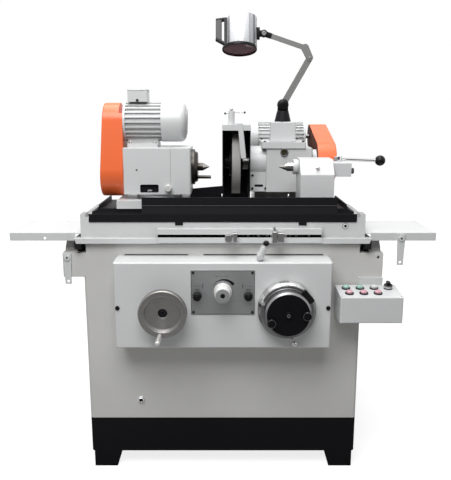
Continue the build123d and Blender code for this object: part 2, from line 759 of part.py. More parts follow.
def brace(x, z, depth):
    """Tapered strap that hangs from its riveted pin, with a plain hole at its free end."""
    top = z + BRACE_HEAD
    end = z - BRACE_PITCH - BRACE_TAIL
    outline = [
        (x - BRACE_TOP_HALF, top), (x + BRACE_TOP_HALF, top),
        (x + BRACE_END_HALF, end), (x - BRACE_END_HALF, end),
    ]
    body = prism_y(outline, brace_front, brace_back)
    body -= rod_y(x, brace_front, brace_back, z - BRACE_PITCH, BRACE_PIN_RADIUS + RUN_GAP)
    body += rod_y(x, brace_back, front + depth, z, BRACE_PIN_RADIUS)
    body += rod_y(x, brace_front - SCREW_HEAD_HEIGHT, brace_front, z, SCREW_HEAD_RADIUS + BRACE_THICKNESS)
    return body


def apron_box():
    body = block(-APRON_HALF_WIDTH, APRON_HALF_WIDTH, apron_front, front, apron_bottom, apron_top)
    body = fillet(body.faces().sort_by(Axis.Y)[0].edges(), APRON_WALL / 2)
    inner = APRON_HALF_WIDTH - APRON_WALL
    body -= block(
        -inner, inner, apron_front + APRON_WALL, front, apron_bottom + APRON_WALL, apron_top - APRON_WALL
    )
    for x in (TABLE_WHEEL_OFFSET, FEED_WHEEL_OFFSET):
        body -= rod_y(x, apron_front, apron_front + APRON_WALL, handwheel_z, SHAFT_RADIUS + RUN_GAP)
    for x, z in knob_places():
        body -= rod_y(x, apron_front, apron_front + APRON_WALL, z, KNOB_STEM_RADIUS + RUN_GAP)
    stand_front = apron_front + LEVER_SETBACK
    half = LEVER_ROD_RADIUS + RUN_GAP + LEVER_ROD_RADIUS
    stand = block(
        LEVER_OFFSET - half, LEVER_OFFSET + half, stand_front, stand_front + LEVER_STAND_THICKNESS,
        apron_top, apron_top + LEVER_STAND_HEIGHT + half,
    )
    stand -= rod_y(
        LEVER_OFFSET, stand_front, stand_front + LEVER_STAND_THICKNESS, apron_top + LEVER_STAND_HEIGHT,
        LEVER_ROD_RADIUS + RUN_GAP,
    )
    return body + stand


def knob_places():
    """Throttle knob, then the left and right dwell knobs, as (x, z)."""
    return [
        (0, panel_top - THROTTLE_DROP),
        (-DWELL_SPREAD, panel_top - DWELL_DROP),
        (DWELL_SPREAD, panel_top - DWELL_DROP),
    ]


def apron_panel():
    plate = block(
        -PANEL_HALF_WIDTH, PANEL_HALF_WIDTH, panel_front, apron_front, panel_top - PANEL_HEIGHT, panel_top
    )
    for x, z in knob_places():
        plate -= rod_y(x, panel_front, apron_front, z, KNOB_STEM_RADIUS + FREE_GAP)
    return plate


def throttle_knob():
    x, z = knob_places()[0]
    foot = panel_front - FREE_GAP
    tip = foot - THROTTLE_LENGTH
    stem_end = apron_front + APRON_WALL
    skirt = foot - THROTTLE_LENGTH / 3
    return turned_y(
        [(0, tip), (THROTTLE_TIP_RADIUS, tip), (THROTTLE_TIP_RADIUS + 2, skirt), (THROTTLE_RADIUS, skirt),
         (THROTTLE_RADIUS, foot), (KNOB_STEM_RADIUS, foot), (KNOB_STEM_RADIUS, stem_end), (0, stem_end)],
        x, z,
    )


def dwell_knob(place):
    x, z = place
    foot = panel_front - FREE_GAP
    tip = foot - DWELL_LENGTH
    stem_end = apron_front + APRON_WALL
    return turned_y(
        [(0, tip), (DWELL_RADIUS - 2, tip), (DWELL_RADIUS, tip + 2), (DWELL_RADIUS, foot),
         (KNOB_STEM_RADIUS, foot), (KNOB_STEM_RADIUS, stem_end), (0, stem_end)], x, z
    )


def reversing_lever():
    """Leaning rod with a thick sleeve and a round knob, turning on a pin in the stand on the apron."""
    z = apron_top + LEVER_STAND_HEIGHT
    back_face = apron_front + LEVER_SETBACK - FREE_GAP
    middle = back_face - LEVER_HUB_WIDTH / 2
    body = rod_y(LEVER_OFFSET, back_face - LEVER_HUB_WIDTH, back_face, z, LEVER_HUB_RADIUS)
    pin_end = apron_front + LEVER_SETBACK + LEVER_STAND_THICKNESS
    body += rod_y(LEVER_OFFSET, back_face, pin_end, z, LEVER_ROD_RADIUS)
    place = Pos(LEVER_OFFSET, middle, z) * Rot(0, LEVER_LEAN, 0)
    body += place * Pos(0, 0, LEVER_LENGTH / 2) * Cylinder(LEVER_ROD_RADIUS, LEVER_LENGTH)
    body += place * Pos(0, 0, LEVER_SLEEVE_LENGTH / 2) * Cylinder(LEVER_SLEEVE_RADIUS, LEVER_SLEEVE_LENGTH)
    body += place * Pos(0, 0, LEVER_LENGTH) * Sphere(LEVER_KNOB_RADIUS)
    return body


def table_handwheel():
    """Dished wheel on its shaft, with a slim handle on the rim and a socket screw in the hub."""
    x = TABLE_WHEEL_OFFSET
    rim_back = apron_front - TABLE_WHEEL_GAP
    rim_front = rim_back - TABLE_WHEEL_RIM
    web_front = rim_front + TABLE_WHEEL_DISH
    hub = 2 * SHAFT_RADIUS
    hub_back = apron_front - FREE_GAP
    rim_inner = TABLE_WHEEL_RADIUS - TABLE_WHEEL_FACE
    socket = SHAFT_RADIUS + 3
    socket_floor = web_front + 8
    screw = SHAFT_RADIUS - 3
    outline = [
        (0, socket_floor - 4), (screw, socket_floor - 4), (screw, socket_floor), (socket, socket_floor),
        (socket, web_front), (rim_inner - 2, web_front), (rim_inner, rim_front),
        (TABLE_WHEEL_RADIUS - 3, rim_front), (TABLE_WHEEL_RADIUS, rim_front + 3),
        (TABLE_WHEEL_RADIUS, rim_back), (hub, rim_back), (hub, hub_back), (SHAFT_RADIUS, hub_back),
        (SHAFT_RADIUS, front + CASTING_WALL), (0, front + CASTING_WALL),
    ]
    wheel = turned_y(outline, x, handwheel_z)
    angle = math.radians(GRIP_ANGLE)
    grip_circle = TABLE_WHEEL_RADIUS - TABLE_WHEEL_FACE / 2
    grip_x = x + grip_circle * math.cos(angle)
    grip_z = handwheel_z + grip_circle * math.sin(angle)
    tip = rim_front - GRIP_LENGTH
    neck = GRIP_RADIUS * 0.6
    grip = turned_y(
        [(0, tip), (neck, tip), (GRIP_RADIUS, tip + neck), (GRIP_RADIUS, tip + GRIP_LENGTH / 2),
         (neck, rim_front), (0, rim_front)], grip_x, grip_z
    )
    return [wheel, grip]


def crossfeed_dial():
    """Graduated ring behind the cross-feed wheel, with three clamp lugs round its edge."""
    ring_back = apron_front - DIAL_GAP
    ring_front = ring_back - DIAL_WIDTH
    body = turned_y(
        [(SHAFT_RADIUS, ring_front), (DIAL_RADIUS - 6, ring_front), (DIAL_RADIUS, ring_front + 8),
         (DIAL_RADIUS, ring_back), (SHAFT_RADIUS, ring_back)], FEED_WHEEL_OFFSET, handwheel_z
    )
    lug = DIAL_RADIUS - FEED_WHEEL_RADIUS
    for angle in (40, 160, 280):
        turn = math.radians(angle)
        reach = FEED_WHEEL_RADIUS + lug / 2
        body += rod_y(
            FEED_WHEEL_OFFSET + reach * math.cos(turn), ring_front - lug / 2, ring_front + lug / 2,
            handwheel_z + reach * math.sin(turn), lug / 3,
        )
    return body


def crossfeed_handwheel():
    """Knob-faced wheel on its shaft, with the gear that drives the feed screw."""
    ring_front = apron_front - DIAL_GAP - DIAL_WIDTH
    face = ring_front - FEED_WHEEL_WIDTH
    outline = [
        (0, face - FEED_CAP_DEPTH), (SHAFT_RADIUS, face - FEED_CAP_DEPTH), (SHAFT_RADIUS, face),
        (FEED_WHEEL_RADIUS - FEED_WHEEL_CHAMFER, face), (FEED_WHEEL_RADIUS, face + FEED_WHEEL_CHAMFER),
        (FEED_WHEEL_RADIUS, ring_front), (SHAFT_RADIUS, ring_front),
        (SHAFT_RADIUS, front + CASTING_WALL), (0, front + CASTING_WALL),
    ]
    body = turned_y(outline, FEED_WHEEL_OFFSET, handwheel_z)
    for angle in (0, 204):
        turn = math.radians(angle)
        x = FEED_WHEEL_OFFSET + FEED_BOSS_CIRCLE * math.cos(turn)
        z = handwheel_z + FEED_BOSS_CIRCLE * math.sin(turn)
        body += rod_y(x, face - FEED_BOSS_RADIUS, face + FEED_BOSS_RADIUS, z, FEED_BOSS_RADIUS)
    return body + gear_y(FEED_WHEEL_OFFSET, handwheel_z, 90)


def feed_screw():
    """Screw under the wheelhead, carried in the front wall and driven by the handwheel's gear."""
    start = gear_back - GEAR_WIDTH - SHAFT_RADIUS
    body = rod_y(screw_x, start, start + FEED_SCREW_LENGTH, screw_z, SHAFT_RADIUS)
    return body + gear_y(screw_x, screw_z, -90 + 180 / GEAR_TEETH)


def base_screws():
    """Screws of the apron, its panel and the rear cover, and the drain plug."""
    heads = []
    panel_bottom = panel_top - PANEL_HEIGHT
    for side in (-1, 1):
        x = side * (PANEL_HALF_WIDTH - PANEL_SCREW_INSET)
        for z in (panel_top - PANEL_SCREW_INSET, panel_bottom + PANEL_SCREW_INSET):
            heads.append(rod_y(x, panel_front - SCREW_HEAD_HEIGHT, panel_front, z, SCREW_HEAD_RADIUS))
        x = side * (APRON_HALF_WIDTH - APRON_SCREW_INSET)
        heads.append(rod_y(x, apron_front - SCREW_HEAD_HEIGHT, apron_front, handwheel_z, SCREW_HEAD_RADIUS))
        cover_back = back + REAR_COVER_THICKNESS
        x = side * (REAR_COVER_WIDTH - REAR_COVER_LAP) / 2
        for z in (REAR_COVER_LAP / 2, REAR_COVER_HEIGHT / 2, REAR_COVER_HEIGHT - REAR_COVER_LAP / 2):
            heads.append(
                rod_y(
                    x, cover_back, cover_back + SCREW_HEAD_HEIGHT, rear_cover_bottom + z, SCREW_HEAD_RADIUS
                )
            )
    drain_z = column_bottom + DRAIN_PLUG_LIFT
    heads.append(rod_y(DRAIN_PLUG_OFFSET, front - DRAIN_PLUG_LENGTH, front, drain_z, DRAIN_PLUG_RADIUS))
    plug_z = apron_bottom + APRON_PLUG_LIFT
    plug_front = apron_front - DRAIN_PLUG_LENGTH
    heads.append(rod_y(APRON_PLUG_OFFSET, plug_front, apron_front, plug_z, APRON_PLUG_RADIUS))
    return heads


def pendant_place(column, row):
    """Place on the sloping button panel; row 0 is the front row and 1 the rear row."""
    v = (row - 0.5) * BUTTON_ROW_GAP
    u = (column - 1.5) * BUTTON_PITCH + (1 - row) * BUTTON_FRONT_SHIFT
    middle_y = (pendant_front + pendant_back) / 2
    middle_z = (pendant_top_front + pendant_top_back) / 2
    return Location((PENDANT_CENTRE, middle_y, middle_z), (panel_tilt, 0, 0)) * Pos(u, v, 0)


def pendant_box():
    """Sheet-metal box with a sloping button panel, on an arm at the corner of the base."""
    outline = [
        (pendant_front, pendant_bottom), (pendant_front, pendant_top_front),
        (pendant_back, pendant_top_back), (pendant_back, pendant_bottom),
    ]
    wall = PENDANT_WALL
    hollow = [
        (pendant_front + wall, pendant_bottom), (pendant_front + wall, pendant_top_front - wall),
        (pendant_back - wall, pendant_top_back - wall), (pendant_back - wall, pendant_bottom),
    ]
    body = prism_x(outline, pendant_left, pendant_right)
    body = fillet(body.faces().sort_by(Axis.Y)[0].edges(), wall)
    body -= prism_x(hollow, pendant_left + wall, pendant_right - wall)
    arm_low = pendant_bottom + wall
    body += block(half_width - BASE_CORNER, ear_end, pendant_back, front, arm_low, ear_bottom)
    body += block(half_width, ear_end, front, front + PENDANT_ARM_DEPTH, arm_low, ear_bottom)
    for column, row in button_places():
        place = pendant_place(column, row)
        body += place * Pos(0, 0, BUTTON_COLLAR_HEIGHT / 2 - 1) * Cylinder(
            BUTTON_COLLAR_RADIUS, BUTTON_COLLAR_HEIGHT + 2
        )
        body -= place * Cylinder(BUTTON_RADIUS + FREE_GAP, 4 * BUTTON_COLLAR_HEIGHT)
    return body


def button_places():
    return [(0, 1), (1, 1), (2, 1), (3, 1), (0, 0), (1, 0), (2, 0)]


def push_button(column, row):
    rise = BUTTON_COLLAR_HEIGHT + BUTTON_RISE
    body = Pos(0, 0, (rise - BUTTON_STEM) / 2) * Cylinder(BUTTON_RADIUS, rise + BUTTON_STEM)
    body = fillet(body.faces().sort_by(Axis.Z)[-1].edges(), BUTTON_RADIUS / 6)
    return pendant_place(column, row) * body


def selector_knob():
    """Turning knob with a flat grip bar across it."""
    foot = BUTTON_COLLAR_HEIGHT + FREE_GAP
    body = Pos(0, 0, (BUTTON_COLLAR_HEIGHT - BUTTON_STEM) / 2) * Cylinder(
        BUTTON_RADIUS, BUTTON_COLLAR_HEIGHT + BUTTON_STEM
    )
    top = foot + SELECTOR_RISE
    body += Pos(0, 0, foot + SELECTOR_RISE / 4) * Cylinder(BUTTON_COLLAR_RADIUS, SELECTOR_RISE / 2)
    body += Pos(0, 0, (BUTTON_COLLAR_HEIGHT + top) / 2) * Box(
        BUTTON_RADIUS, 2 * BUTTON_RADIUS, top - BUTTON_COLLAR_HEIGHT
    )
    return pendant_place(3, 1) * body


def lower_table():
    body = block(-ledge_end, ledge_end, front - LEDGE_DEPTH, table_back, table_bottom, ledge_top)
    body += block(-TABLE_HALF_LENGTH, TABLE_HALF_LENGTH, front, table_back, ledge_top, table_top)
    body += block(RAIL_START, RAIL_END, rail_front, front, rail_bottom, rail_bottom + RAIL_HEIGHT)
    mouth_back = rail_front + SLOT_MOUTH_DEPTH
    mouth = SLOT_MOUTH / 2
    body -= block(RAIL_START, RAIL_END, rail_front, mouth_back, slot_z - mouth, slot_z + mouth)
    body -= block(
        RAIL_START, RAIL_END, mouth_back, mouth_back + SLOT_HEAD_DEPTH,
        slot_z - SLOT_HEAD / 2, slot_z + SLOT_HEAD / 2,
    )
    pad_half = WAY_HALF_WIDTH + WAY_SIDE
    pad_end = ledge_end - WIPER_TUCK
    pad_low = flat_way_top + SLIDE_GAP
    for y in (v_way_y, flat_way_y):
        body += block(-pad_end, pad_end, y - pad_half, y + pad_half, pad_low, table_bottom)
    body -= prism_x(way_points(v_way_y, bed_top, SLIDE_GAP, bed_top), -ledge_end, ledge_end)
    for side in (-1, 1):
        body += block(
            side * (TABLE_HALF_LENGTH - CLAMP_LUG_LENGTH), side * TABLE_HALF_LENGTH,
            front, front + 3 * CLAMP_LUG_LENGTH, table_top, table_top + CLAMP_LUG_HEIGHT,
        )
    body -= rod_z(0, work_y, table_top - SWIVEL_PIN_LENGTH, table_top, SWIVEL_PIN_RADIUS + RUN_GAP)
    return body


def way_wipers():
    """Rubber strips at both table ends that follow the ways."""
    wipers = []
    outer = ledge_end + WIPER_THICKNESS
    low = bed_top + SLIDE_GAP + FREE_GAP
    behind_lip = front + CASTING_WALL + FREE_GAP
    ledge_front = front - LEDGE_DEPTH
    half = WAY_HALF_WIDTH + FREE_GAP
    for side in (-1, 1):
        start = side * (ledge_end - WIPER_TUCK)
        end = side * outer
        strip = block(start, end, behind_lip, table_back, low, table_bottom)
        strip += block(side * ledge_end, end, ledge_front, table_back, table_bottom, ledge_top)
        strip += block(start, end, ledge_front, front - FREE_GAP, table_bottom - WIPER_LAP, table_bottom)
        strip -= prism_x(way_points(v_way_y, bed_top, FREE_GAP, bed_top), -outer, outer)
        strip -= block(start, end, v_way_y - half, v_way_y + half, bed_top, bed_top + WAY_SIDE + FREE_GAP)
        strip -= block(start, end, flat_way_y - half, flat_way_y + half, bed_top, flat_way_top + FREE_GAP)
        wipers.append(strip)
    return wipers


def way_covers():
    """Folded sheets on both table ends that keep grit off the bed ways."""
    covers = []
    skirt_start = ledge_end + WIPER_THICKNESS
    end = ledge_end + COVER_LENGTH
    for side in (-1, 1):
        inner = side * TABLE_HALF_LENGTH
        skirt_back = front + COVER_SHEET
        skirt_low = cover_bottom - COVER_SKIRT
        sheet = block(inner, side * end, front, front + COVER_DEPTH, cover_bottom, cover_top)
        sheet += block(side * skirt_start, side * end, front, skirt_back, skirt_low, cover_top)
        hole_radius = BRACE_PIN_RADIUS + RUN_GAP
        sheet -= rod_y(side * cover_hole_x, front, skirt_back, cover_hole_z, hole_radius)
        covers.append(sheet)
    return covers


def dog_foot(start, width):
    """T-shaped foot of a reversing dog, sliding in the slot of the table's front rail."""
    back_face = rail_front - FREE_GAP
    end = start + width
    mouth = SLOT_MOUTH / 2 - FREE_GAP
    head = SLOT_HEAD / 2 - FREE_GAP
    head_front = rail_front + SLOT_MOUTH_DEPTH + FREE_GAP
    head_back = rail_front + SLOT_MOUTH_DEPTH + SLOT_HEAD_DEPTH - FREE_GAP
    foot = block(start, end, back_face, head_front, slot_z - mouth, slot_z + mouth)
    return foot + block(start, end, head_front, head_back, slot_z - head, slot_z + head)


def dog_post(start, width, height):
    """Upright block of a reversing dog in front of the rail, centred on the slot."""
    return block(
        start, start + width, rail_front - DOG_DEPTH, rail_front - FREE_GAP,
        slot_z - height / 2, slot_z + height / 2, 1.5,
    )


def table_dog_left():
    """Left dog: a post at its right end and a round clamp screw at its left end."""
    end = LEFT_DOG_START + LEFT_DOG_WIDTH
    body = dog_foot(LEFT_DOG_START, LEFT_DOG_WIDTH)
    body += dog_post(end - LEFT_DOG_POST_WIDTH, LEFT_DOG_POST_WIDTH, LEFT_DOG_POST_HEIGHT)
    screw_x = LEFT_DOG_START + LEFT_DOG_DISC_RADIUS
    return body + rod_y(
        screw_x, rail_front - DOG_DEPTH, rail_front - FREE_GAP, slot_z - DOG_POST_GAP, LEFT_DOG_DISC_RADIUS
    )


def table_dog_right():
    """Right dog: a tall post with a pin on top, and a clamp block beside it."""
    body = dog_foot(RIGHT_DOG_START, RIGHT_DOG_WIDTH)
    post = RIGHT_DOG_START + DOG_POST_GAP
    body += dog_post(post, RIGHT_DOG_POST_WIDTH, RIGHT_DOG_POST_HEIGHT)
    top = slot_z + RIGHT_DOG_POST_HEIGHT / 2
    pin_x = post + RIGHT_DOG_POST_WIDTH / 2
    pin_y = rail_front - DOG_DEPTH / 2
    body += rod_z(pin_x, pin_y, top - DOG_POST_GAP, top + RIGHT_DOG_PIN_HEIGHT, RIGHT_DOG_PIN_RADIUS)
    clamp = post + RIGHT_DOG_POST_WIDTH + DOG_POST_GAP
    return body + dog_post(clamp, RIGHT_DOG_CLAMP_WIDTH, RIGHT_DOG_CLAMP_HEIGHT)


def upper_table():
    """Swivelling table with raised end lips that curve down to its ends, and the pin that it turns on."""
    floor = table_top + SLIDE_GAP
    half = UPPER_TABLE_HALF_LENGTH
    lip_top = upper_top + END_LIP_HEIGHT
    shelf = lip_top - END_CURVE
    lip_out = half - END_CURVE
    lip_in = lip_out - END_LIP_WIDTH
    bend = END_CURVE * math.sqrt(0.5)
    right = ThreePointArc((half, shelf), (half - bend, lip_top - bend), (lip_out, lip_top))
    left = ThreePointArc((-lip_out, lip_top), (-half + bend, lip_top - bend), (-half, shelf))
    outline = [
        Line((-half, floor), (half, floor)), Line((half, floor), (half, shelf)), right,
        Polyline((lip_out, lip_top), (lip_in, lip_top), (lip_in, upper_top), (-lip_in, upper_top),
                 (-lip_in, lip_top), (-lip_out, lip_top)),
        left, Line((-half, shelf), (-half, floor)),
    ]
    y1 = work_y + UPPER_TABLE_WIDTH / 2
    body = extrude(Plane.XZ.offset(-y1) * make_face(outline), UPPER_TABLE_WIDTH)
    return body + rod_z(0, work_y, table_top - SWIVEL_PIN_LENGTH + FREE_GAP, floor, SWIVEL_PIN_RADIUS)


def coolant_tray():
    """Black folded strip along the front of the lower table, and a plain one below the table top behind."""
    half = TRAY_HALF_LENGTH
    low = table_top - TRAY_DROP
    strip = block(-half, half, front - TRAY_SHEET, front, low, table_top + TRAY_RISE)
    strip += block(-half, half, front, front + TRAY_FOOT, table_top, table_top + TRAY_SHEET)
    tab = TRAY_TAB_WIDTH / 2
    for x in (TRAY_TAB_LEFT, TRAY_TAB_RIGHT):
        strip += block(x - tab, x + tab, front - TRAY_SHEET, front, low - TRAY_TAB_DROP, low)
    return [strip, block(-half, half, table_back, table_back + TRAY_SHEET, low, table_top)]


def splash_plate():
    """Bent sheet standing on the tray in front of the work."""
    floor = table_top + TRAY_RISE
    sheet = TRAY_SHEET
    fold = floor + SPLASH_FOLD
    top = floor + SPLASH_HEIGHT
    y = front - sheet
    outline = [
        (y, floor), (y + SPLASH_LEAN, fold), (y + SPLASH_LEAN, top),
        (y + SPLASH_LEAN + sheet, top), (y + SPLASH_LEAN + sheet, fold), (y + sheet, floor),
    ]
    return prism_x(outline, SPLASH_START, SPLASH_END)


def workhead_base():
    """Clamped base with the round seat that the workhead swivels on."""
    half = HEAD_BASE_WIDTH / 2
    left = head_left - (HEAD_BASE_LENGTH - WORKHEAD_LENGTH) - FOOT_TAPER
    table_front = work_y - UPPER_TABLE_WIDTH / 2
    body = block(left, left + HEAD_BASE_LENGTH, work_y - half, work_y + half, upper_top, head_base_top)
    body += block(
        left, left + HEAD_BLOCK_LENGTH, table_front - HEAD_BLOCK_OVERHANG, work_y, upper_top, head_base_top
    )
    body += rod_z(WORKHEAD_PIVOT, work_y, head_base_top, head_bottom, HEAD_DISC_RADIUS)
    body += rod_z(
        WORKHEAD_PIVOT, work_y, head_bottom, head_bottom + HEAD_SPIGOT_HEIGHT, HEAD_SPIGOT_RADIUS
    )
    return body


def lock_knob_place():
    return (WORKHEAD_PIVOT + LOCK_KNOB_OFFSET, head_bottom + LOCK_KNOB_HEIGHT)


def workhead_housing():
    floor = head_bottom + SLIDE_GAP
    body = block(head_left, head_right, head_front, head_back, floor, head_top)
    body = fillet(body.edges().filter_by(Axis.Z), WORKHEAD_EDGE)
    body = fillet(body.faces().sort_by(Axis.Z)[-1].edges(), WORKHEAD_EDGE / 4)
    body -= rod_x(head_left, head_right, work_y, axis_z, SPINDLE_RADIUS + RUN_GAP)
    spigot_top = head_bottom + HEAD_SPIGOT_HEIGHT + FREE_GAP
    body -= rod_z(WORKHEAD_PIVOT, work_y, floor, spigot_top, HEAD_SPIGOT_RADIUS + RUN_GAP)
    x, z = lock_knob_place()
    body -= rod_y(x, head_front, head_front + LOCK_STEM_LENGTH + FREE_GAP, z, KNOB_STEM_RADIUS + RUN_GAP)
    middle = WORKHEAD_PIVOT + WINDOW_OFFSET
    low = head_bottom + WINDOW_LIFT
    window = block(
        middle - WINDOW_WIDTH / 2, middle + WINDOW_WIDTH / 2, head_front, head_front + WINDOW_DEPTH,
        low, low + WINDOW_HEIGHT,
    )
    return body - fillet(window.edges().filter_by(Axis.Y), WINDOW_CORNER)


def lock_knob():
    x, z = lock_knob_place()
    foot = head_front - FREE_GAP
    tip = foot - LOCK_KNOB_LENGTH
    stem_end = head_front + LOCK_STEM_LENGTH
    return turned_y(
        [(0, tip), (LOCK_KNOB_RADIUS - 2, tip), (LOCK_KNOB_RADIUS, tip + 2), (LOCK_KNOB_RADIUS, foot - 10),
         (LOCK_KNOB_RADIUS - 4, foot), (KNOB_STEM_RADIUS, foot), (KNOB_STEM_RADIUS, stem_end),
         (0, stem_end)],
        x, z,
    )


def work_spindle():
    """Spindle with its pulley, the dark nose flange and the drive pin."""
    nose_back = head_right + FREE_GAP
    seat = CENTRE_SHANK_RADIUS
    outline = [
        (work_pulley_left, 0), (work_pulley_left, WORK_PULLEY_RADIUS),
        (work_pulley_right, WORK_PULLEY_RADIUS), (work_pulley_right, SPINDLE_RADIUS),
        (nose_back, SPINDLE_RADIUS), (nose_back, NOSE_RADIUS),
        (nose_face - NOSE_LENGTH / 2, NOSE_RADIUS), (nose_face - NOSE_LENGTH / 2, NOSE_RADIUS - 6),
        (nose_face, NOSE_RADIUS - 12), (nose_face, seat), (nose_face - CENTRE_SHANK_LENGTH, seat),
        (nose_face - CENTRE_SHANK_LENGTH, 0),
    ]
    body = turned_x(outline, work_y, axis_z)
    pin_z = axis_z - DRIVE_PIN_CIRCLE
    pin_start = nose_face - NOSE_LENGTH / 2
    return body + rod_x(pin_start, nose_face + DRIVE_PIN_LENGTH, work_y, pin_z, DRIVE_PIN_RADIUS)


def work_centre():
    shank_end = nose_face - CENTRE_SHANK_LENGTH
    collar_end = nose_face + CENTRE_COLLAR
    return turned_x(
        [(shank_end, 0), (shank_end, CENTRE_SHANK_RADIUS), (nose_face, CENTRE_SHANK_RADIUS),
         (nose_face, CENTRE_RADIUS), (collar_end, CENTRE_RADIUS), (collar_end + CENTRE_POINT, 0)],
        work_y, axis_z,
    )


def guard_form(x0, x1, low, high, inset):
    """Solid form round two pulleys, drawn in on every side by the given inset."""
    return loop_x(x0 + inset, x1 - inset, *low[:2], low[2] - inset, *high[:2], high[2] - inset)


def rounded_side(form, end, radius):
    """Form with the edges of its first or last side along X rounded."""
    return fillet(form.faces().sort_by(Axis.X)[end].edges(), radius)


def work_guard_form(inset):
    """Form of the workhead guard: its outer side leans in and its top steps back beside the motor."""
    low = (work_y, axis_z - WORK_GUARD_SAG, WORK_GUARD_LOW_RADIUS)
    high = (work_y, work_motor_z, WORK_GUARD_HIGH_RADIUS)
    form = guard_form(work_guard_left, head_left, low, high, inset)
    floor = low[1] - low[2]
    top = high[1] + high[2]
    near = work_y - WORK_GUARD_LOW_RADIUS - GUARD_WALL
    far = work_y + WORK_GUARD_LOW_RADIUS + GUARD_WALL
    left = work_guard_left + inset
    out = left - GUARD_WALL
    form -= prism_y([(out, floor), (left, floor), (left + WORK_GUARD_LEAN, top), (out, top)], near, far)
    form = rounded_side(form, 0, GUARD_EDGE - inset)
    step_x = head_left - WORK_GUARD_STEP - inset
    return form - block(step_x, head_left, near, far, top - WORK_GUARD_STEP_HEIGHT - inset, top)


def workhead_belt_guard():
    """Hollow guard over the work drive, with a back plate that the shafts pass."""
    body = work_guard_form(0) - work_guard_form(GUARD_WALL)
    body -= rod_x(head_left - GUARD_WALL, head_left, work_y, axis_z, SPINDLE_RADIUS + GUARD_WALL)
    return body - rod_x(head_left - GUARD_WALL, head_left, work_y, work_motor_z, ROTOR_RADIUS + GUARD_WALL)


def drive_belt(x0, low, high):
    """Endless belt lying on two pulleys."""
    inner = [*low[:2], low[2] + BELT_GAP, *high[:2], high[2] + BELT_GAP]
    outer = [*low[:2], inner[2] + BELT_THICKNESS, *high[:2], inner[5] + BELT_THICKNESS]
    return loop_x(x0, x0 + BELT_WIDTH, *outer) - loop_x(x0, x0 + BELT_WIDTH, *inner)


def workhead_belt():
    start = work_pulley_left + (PULLEY_WIDTH - BELT_WIDTH) / 2
    low = (work_y, axis_z, WORK_PULLEY_RADIUS)
    high = (work_y, work_motor_z, WORK_MOTOR_PULLEY_RADIUS)
    return drive_belt(start, low, high)


def motor_ribs(radius):
    """Round motor frame with ribs along it, as a flat section."""
    section = Circle(radius - RIB_HEIGHT)
    for rib in range(RIB_COUNT):
        turn = 360 * rib / RIB_COUNT
        section += Rot(0, 0, turn) * Pos(radius - RIB_HEIGHT, 0) * Rectangle(2 * RIB_HEIGHT, RIB_WIDTH)
    return section


def motor(drive_x, frame, cowl, y, z, radius, floor, toward, lid_turn):
    """Foot-mounted motor: ribbed frame with feet, fan cowl and terminal box.

    toward is the side of the cowl, lid_turn how far the box is turned round from the top.
    """
    join = drive_x + toward * frame
    far = join + toward * cowl
    left, right = sorted((drive_x, join))
    shell = extrude(Plane.YZ.offset(left) * Pos(y, z) * motor_ribs(radius), right - left)
    bell = RIB_HEIGHT
    shell += rod_x(*sorted((drive_x, drive_x + toward * bell)), y, z, radius)
    inset = frame / 10
    foot_top = floor + MOTOR_FOOT_THICKNESS
    for half, top in ((0.8 * radius, foot_top), (0.5 * radius, z)):
        shell += block(left + inset, right - inset, y - half, y + half, floor, top)
    shell -= rod_x(left, right, y, z, ROTOR_RADIUS + RUN_GAP)
    hood = rod_x(*sorted((join, far)), y, z, radius + COWL_LIP)
    end = hood.faces().sort_by(Axis.X)[-1 if toward > 0 else 0]
    hood = fillet(end.edges(), cowl / 4)
    hood -= rod_x(*sorted((join, far - toward * cowl / 3)), y, z, ROTOR_RADIUS + RUN_GAP)
    x0, x1 = sorted((drive_x + toward * 2 * bell, drive_x + toward * (2 * bell + TERMINAL_LENGTH)))
    half = TERMINAL_DEPTH / 2
    lid = block(x0, x1, -half, half, radius, radius + TERMINAL_HEIGHT, 2)
    return [shell, hood, Pos(0, y, z) * Rot(lid_turn, 0, 0) * lid]


def workhead_motor():
    return motor(
        head_left, WORK_MOTOR_FRAME, WORK_MOTOR_COWL, work_y, work_motor_z, WORK_MOTOR_RADIUS, head_top, 1, 0
    )


def motor_rotor(pulley_x0, pulley_x1, far_x, y, z, pulley_radius):
    body = rod_x(*sorted((min(pulley_x0, far_x), max(pulley_x1, far_x))), y, z, ROTOR_RADIUS)
    return body + rod_x(pulley_x0, pulley_x1, y, z, pulley_radius)


def workhead_rotor():
    far = head_left + WORK_MOTOR_FRAME + WORK_MOTOR_COWL / 2
    return motor_rotor(
        work_pulley_left, work_pulley_right, far, work_y, work_motor_z, WORK_MOTOR_PULLEY_RADIUS
    )


def tailstock_body():
    shoulder = axis_z - TAIL_SHOULDER_DROP
    top = axis_z + TAIL_RISE
    y0 = work_y - TAIL_FRONT
    y1 = work_y + TAIL_REAR
    outline = [(y0, upper_top), (y0, shoulder), (y0 + TAIL_SLOPE, top), (y1, top), (y1, upper_top)]
    body = prism_x(outline, TAIL_OFFSET, tail_end)
    body = fillet(body.edges().filter_by(Axis.X).sort_by(Axis.Z)[2:], WORKHEAD_EDGE)
    low = axis_z - TAIL_BLOCK_DROP
    body += block(tail_end, tail_block_end, work_y - TAIL_BLOCK_FRONT, y1, low, tail_block_top)
    body += rod_x(TAIL_OFFSET - TAIL_NOSE_LENGTH, TAIL_OFFSET, work_y, axis_z, TAIL_NOSE_RADIUS)
    body -= rod_x(
        TAIL_OFFSET - TAIL_NOSE_LENGTH, tail_block_end, work_y, axis_z, QUILL_RADIUS + RUN_GAP
    )
    body -= rod_z(
        tail_lever_x, tail_lever_y, tail_block_top - TAIL_LEVER_PIN_LENGTH - FREE_GAP, tail_block_top,
        TAIL_LEVER_PIN_RADIUS + RUN_GAP,
    )
    return body


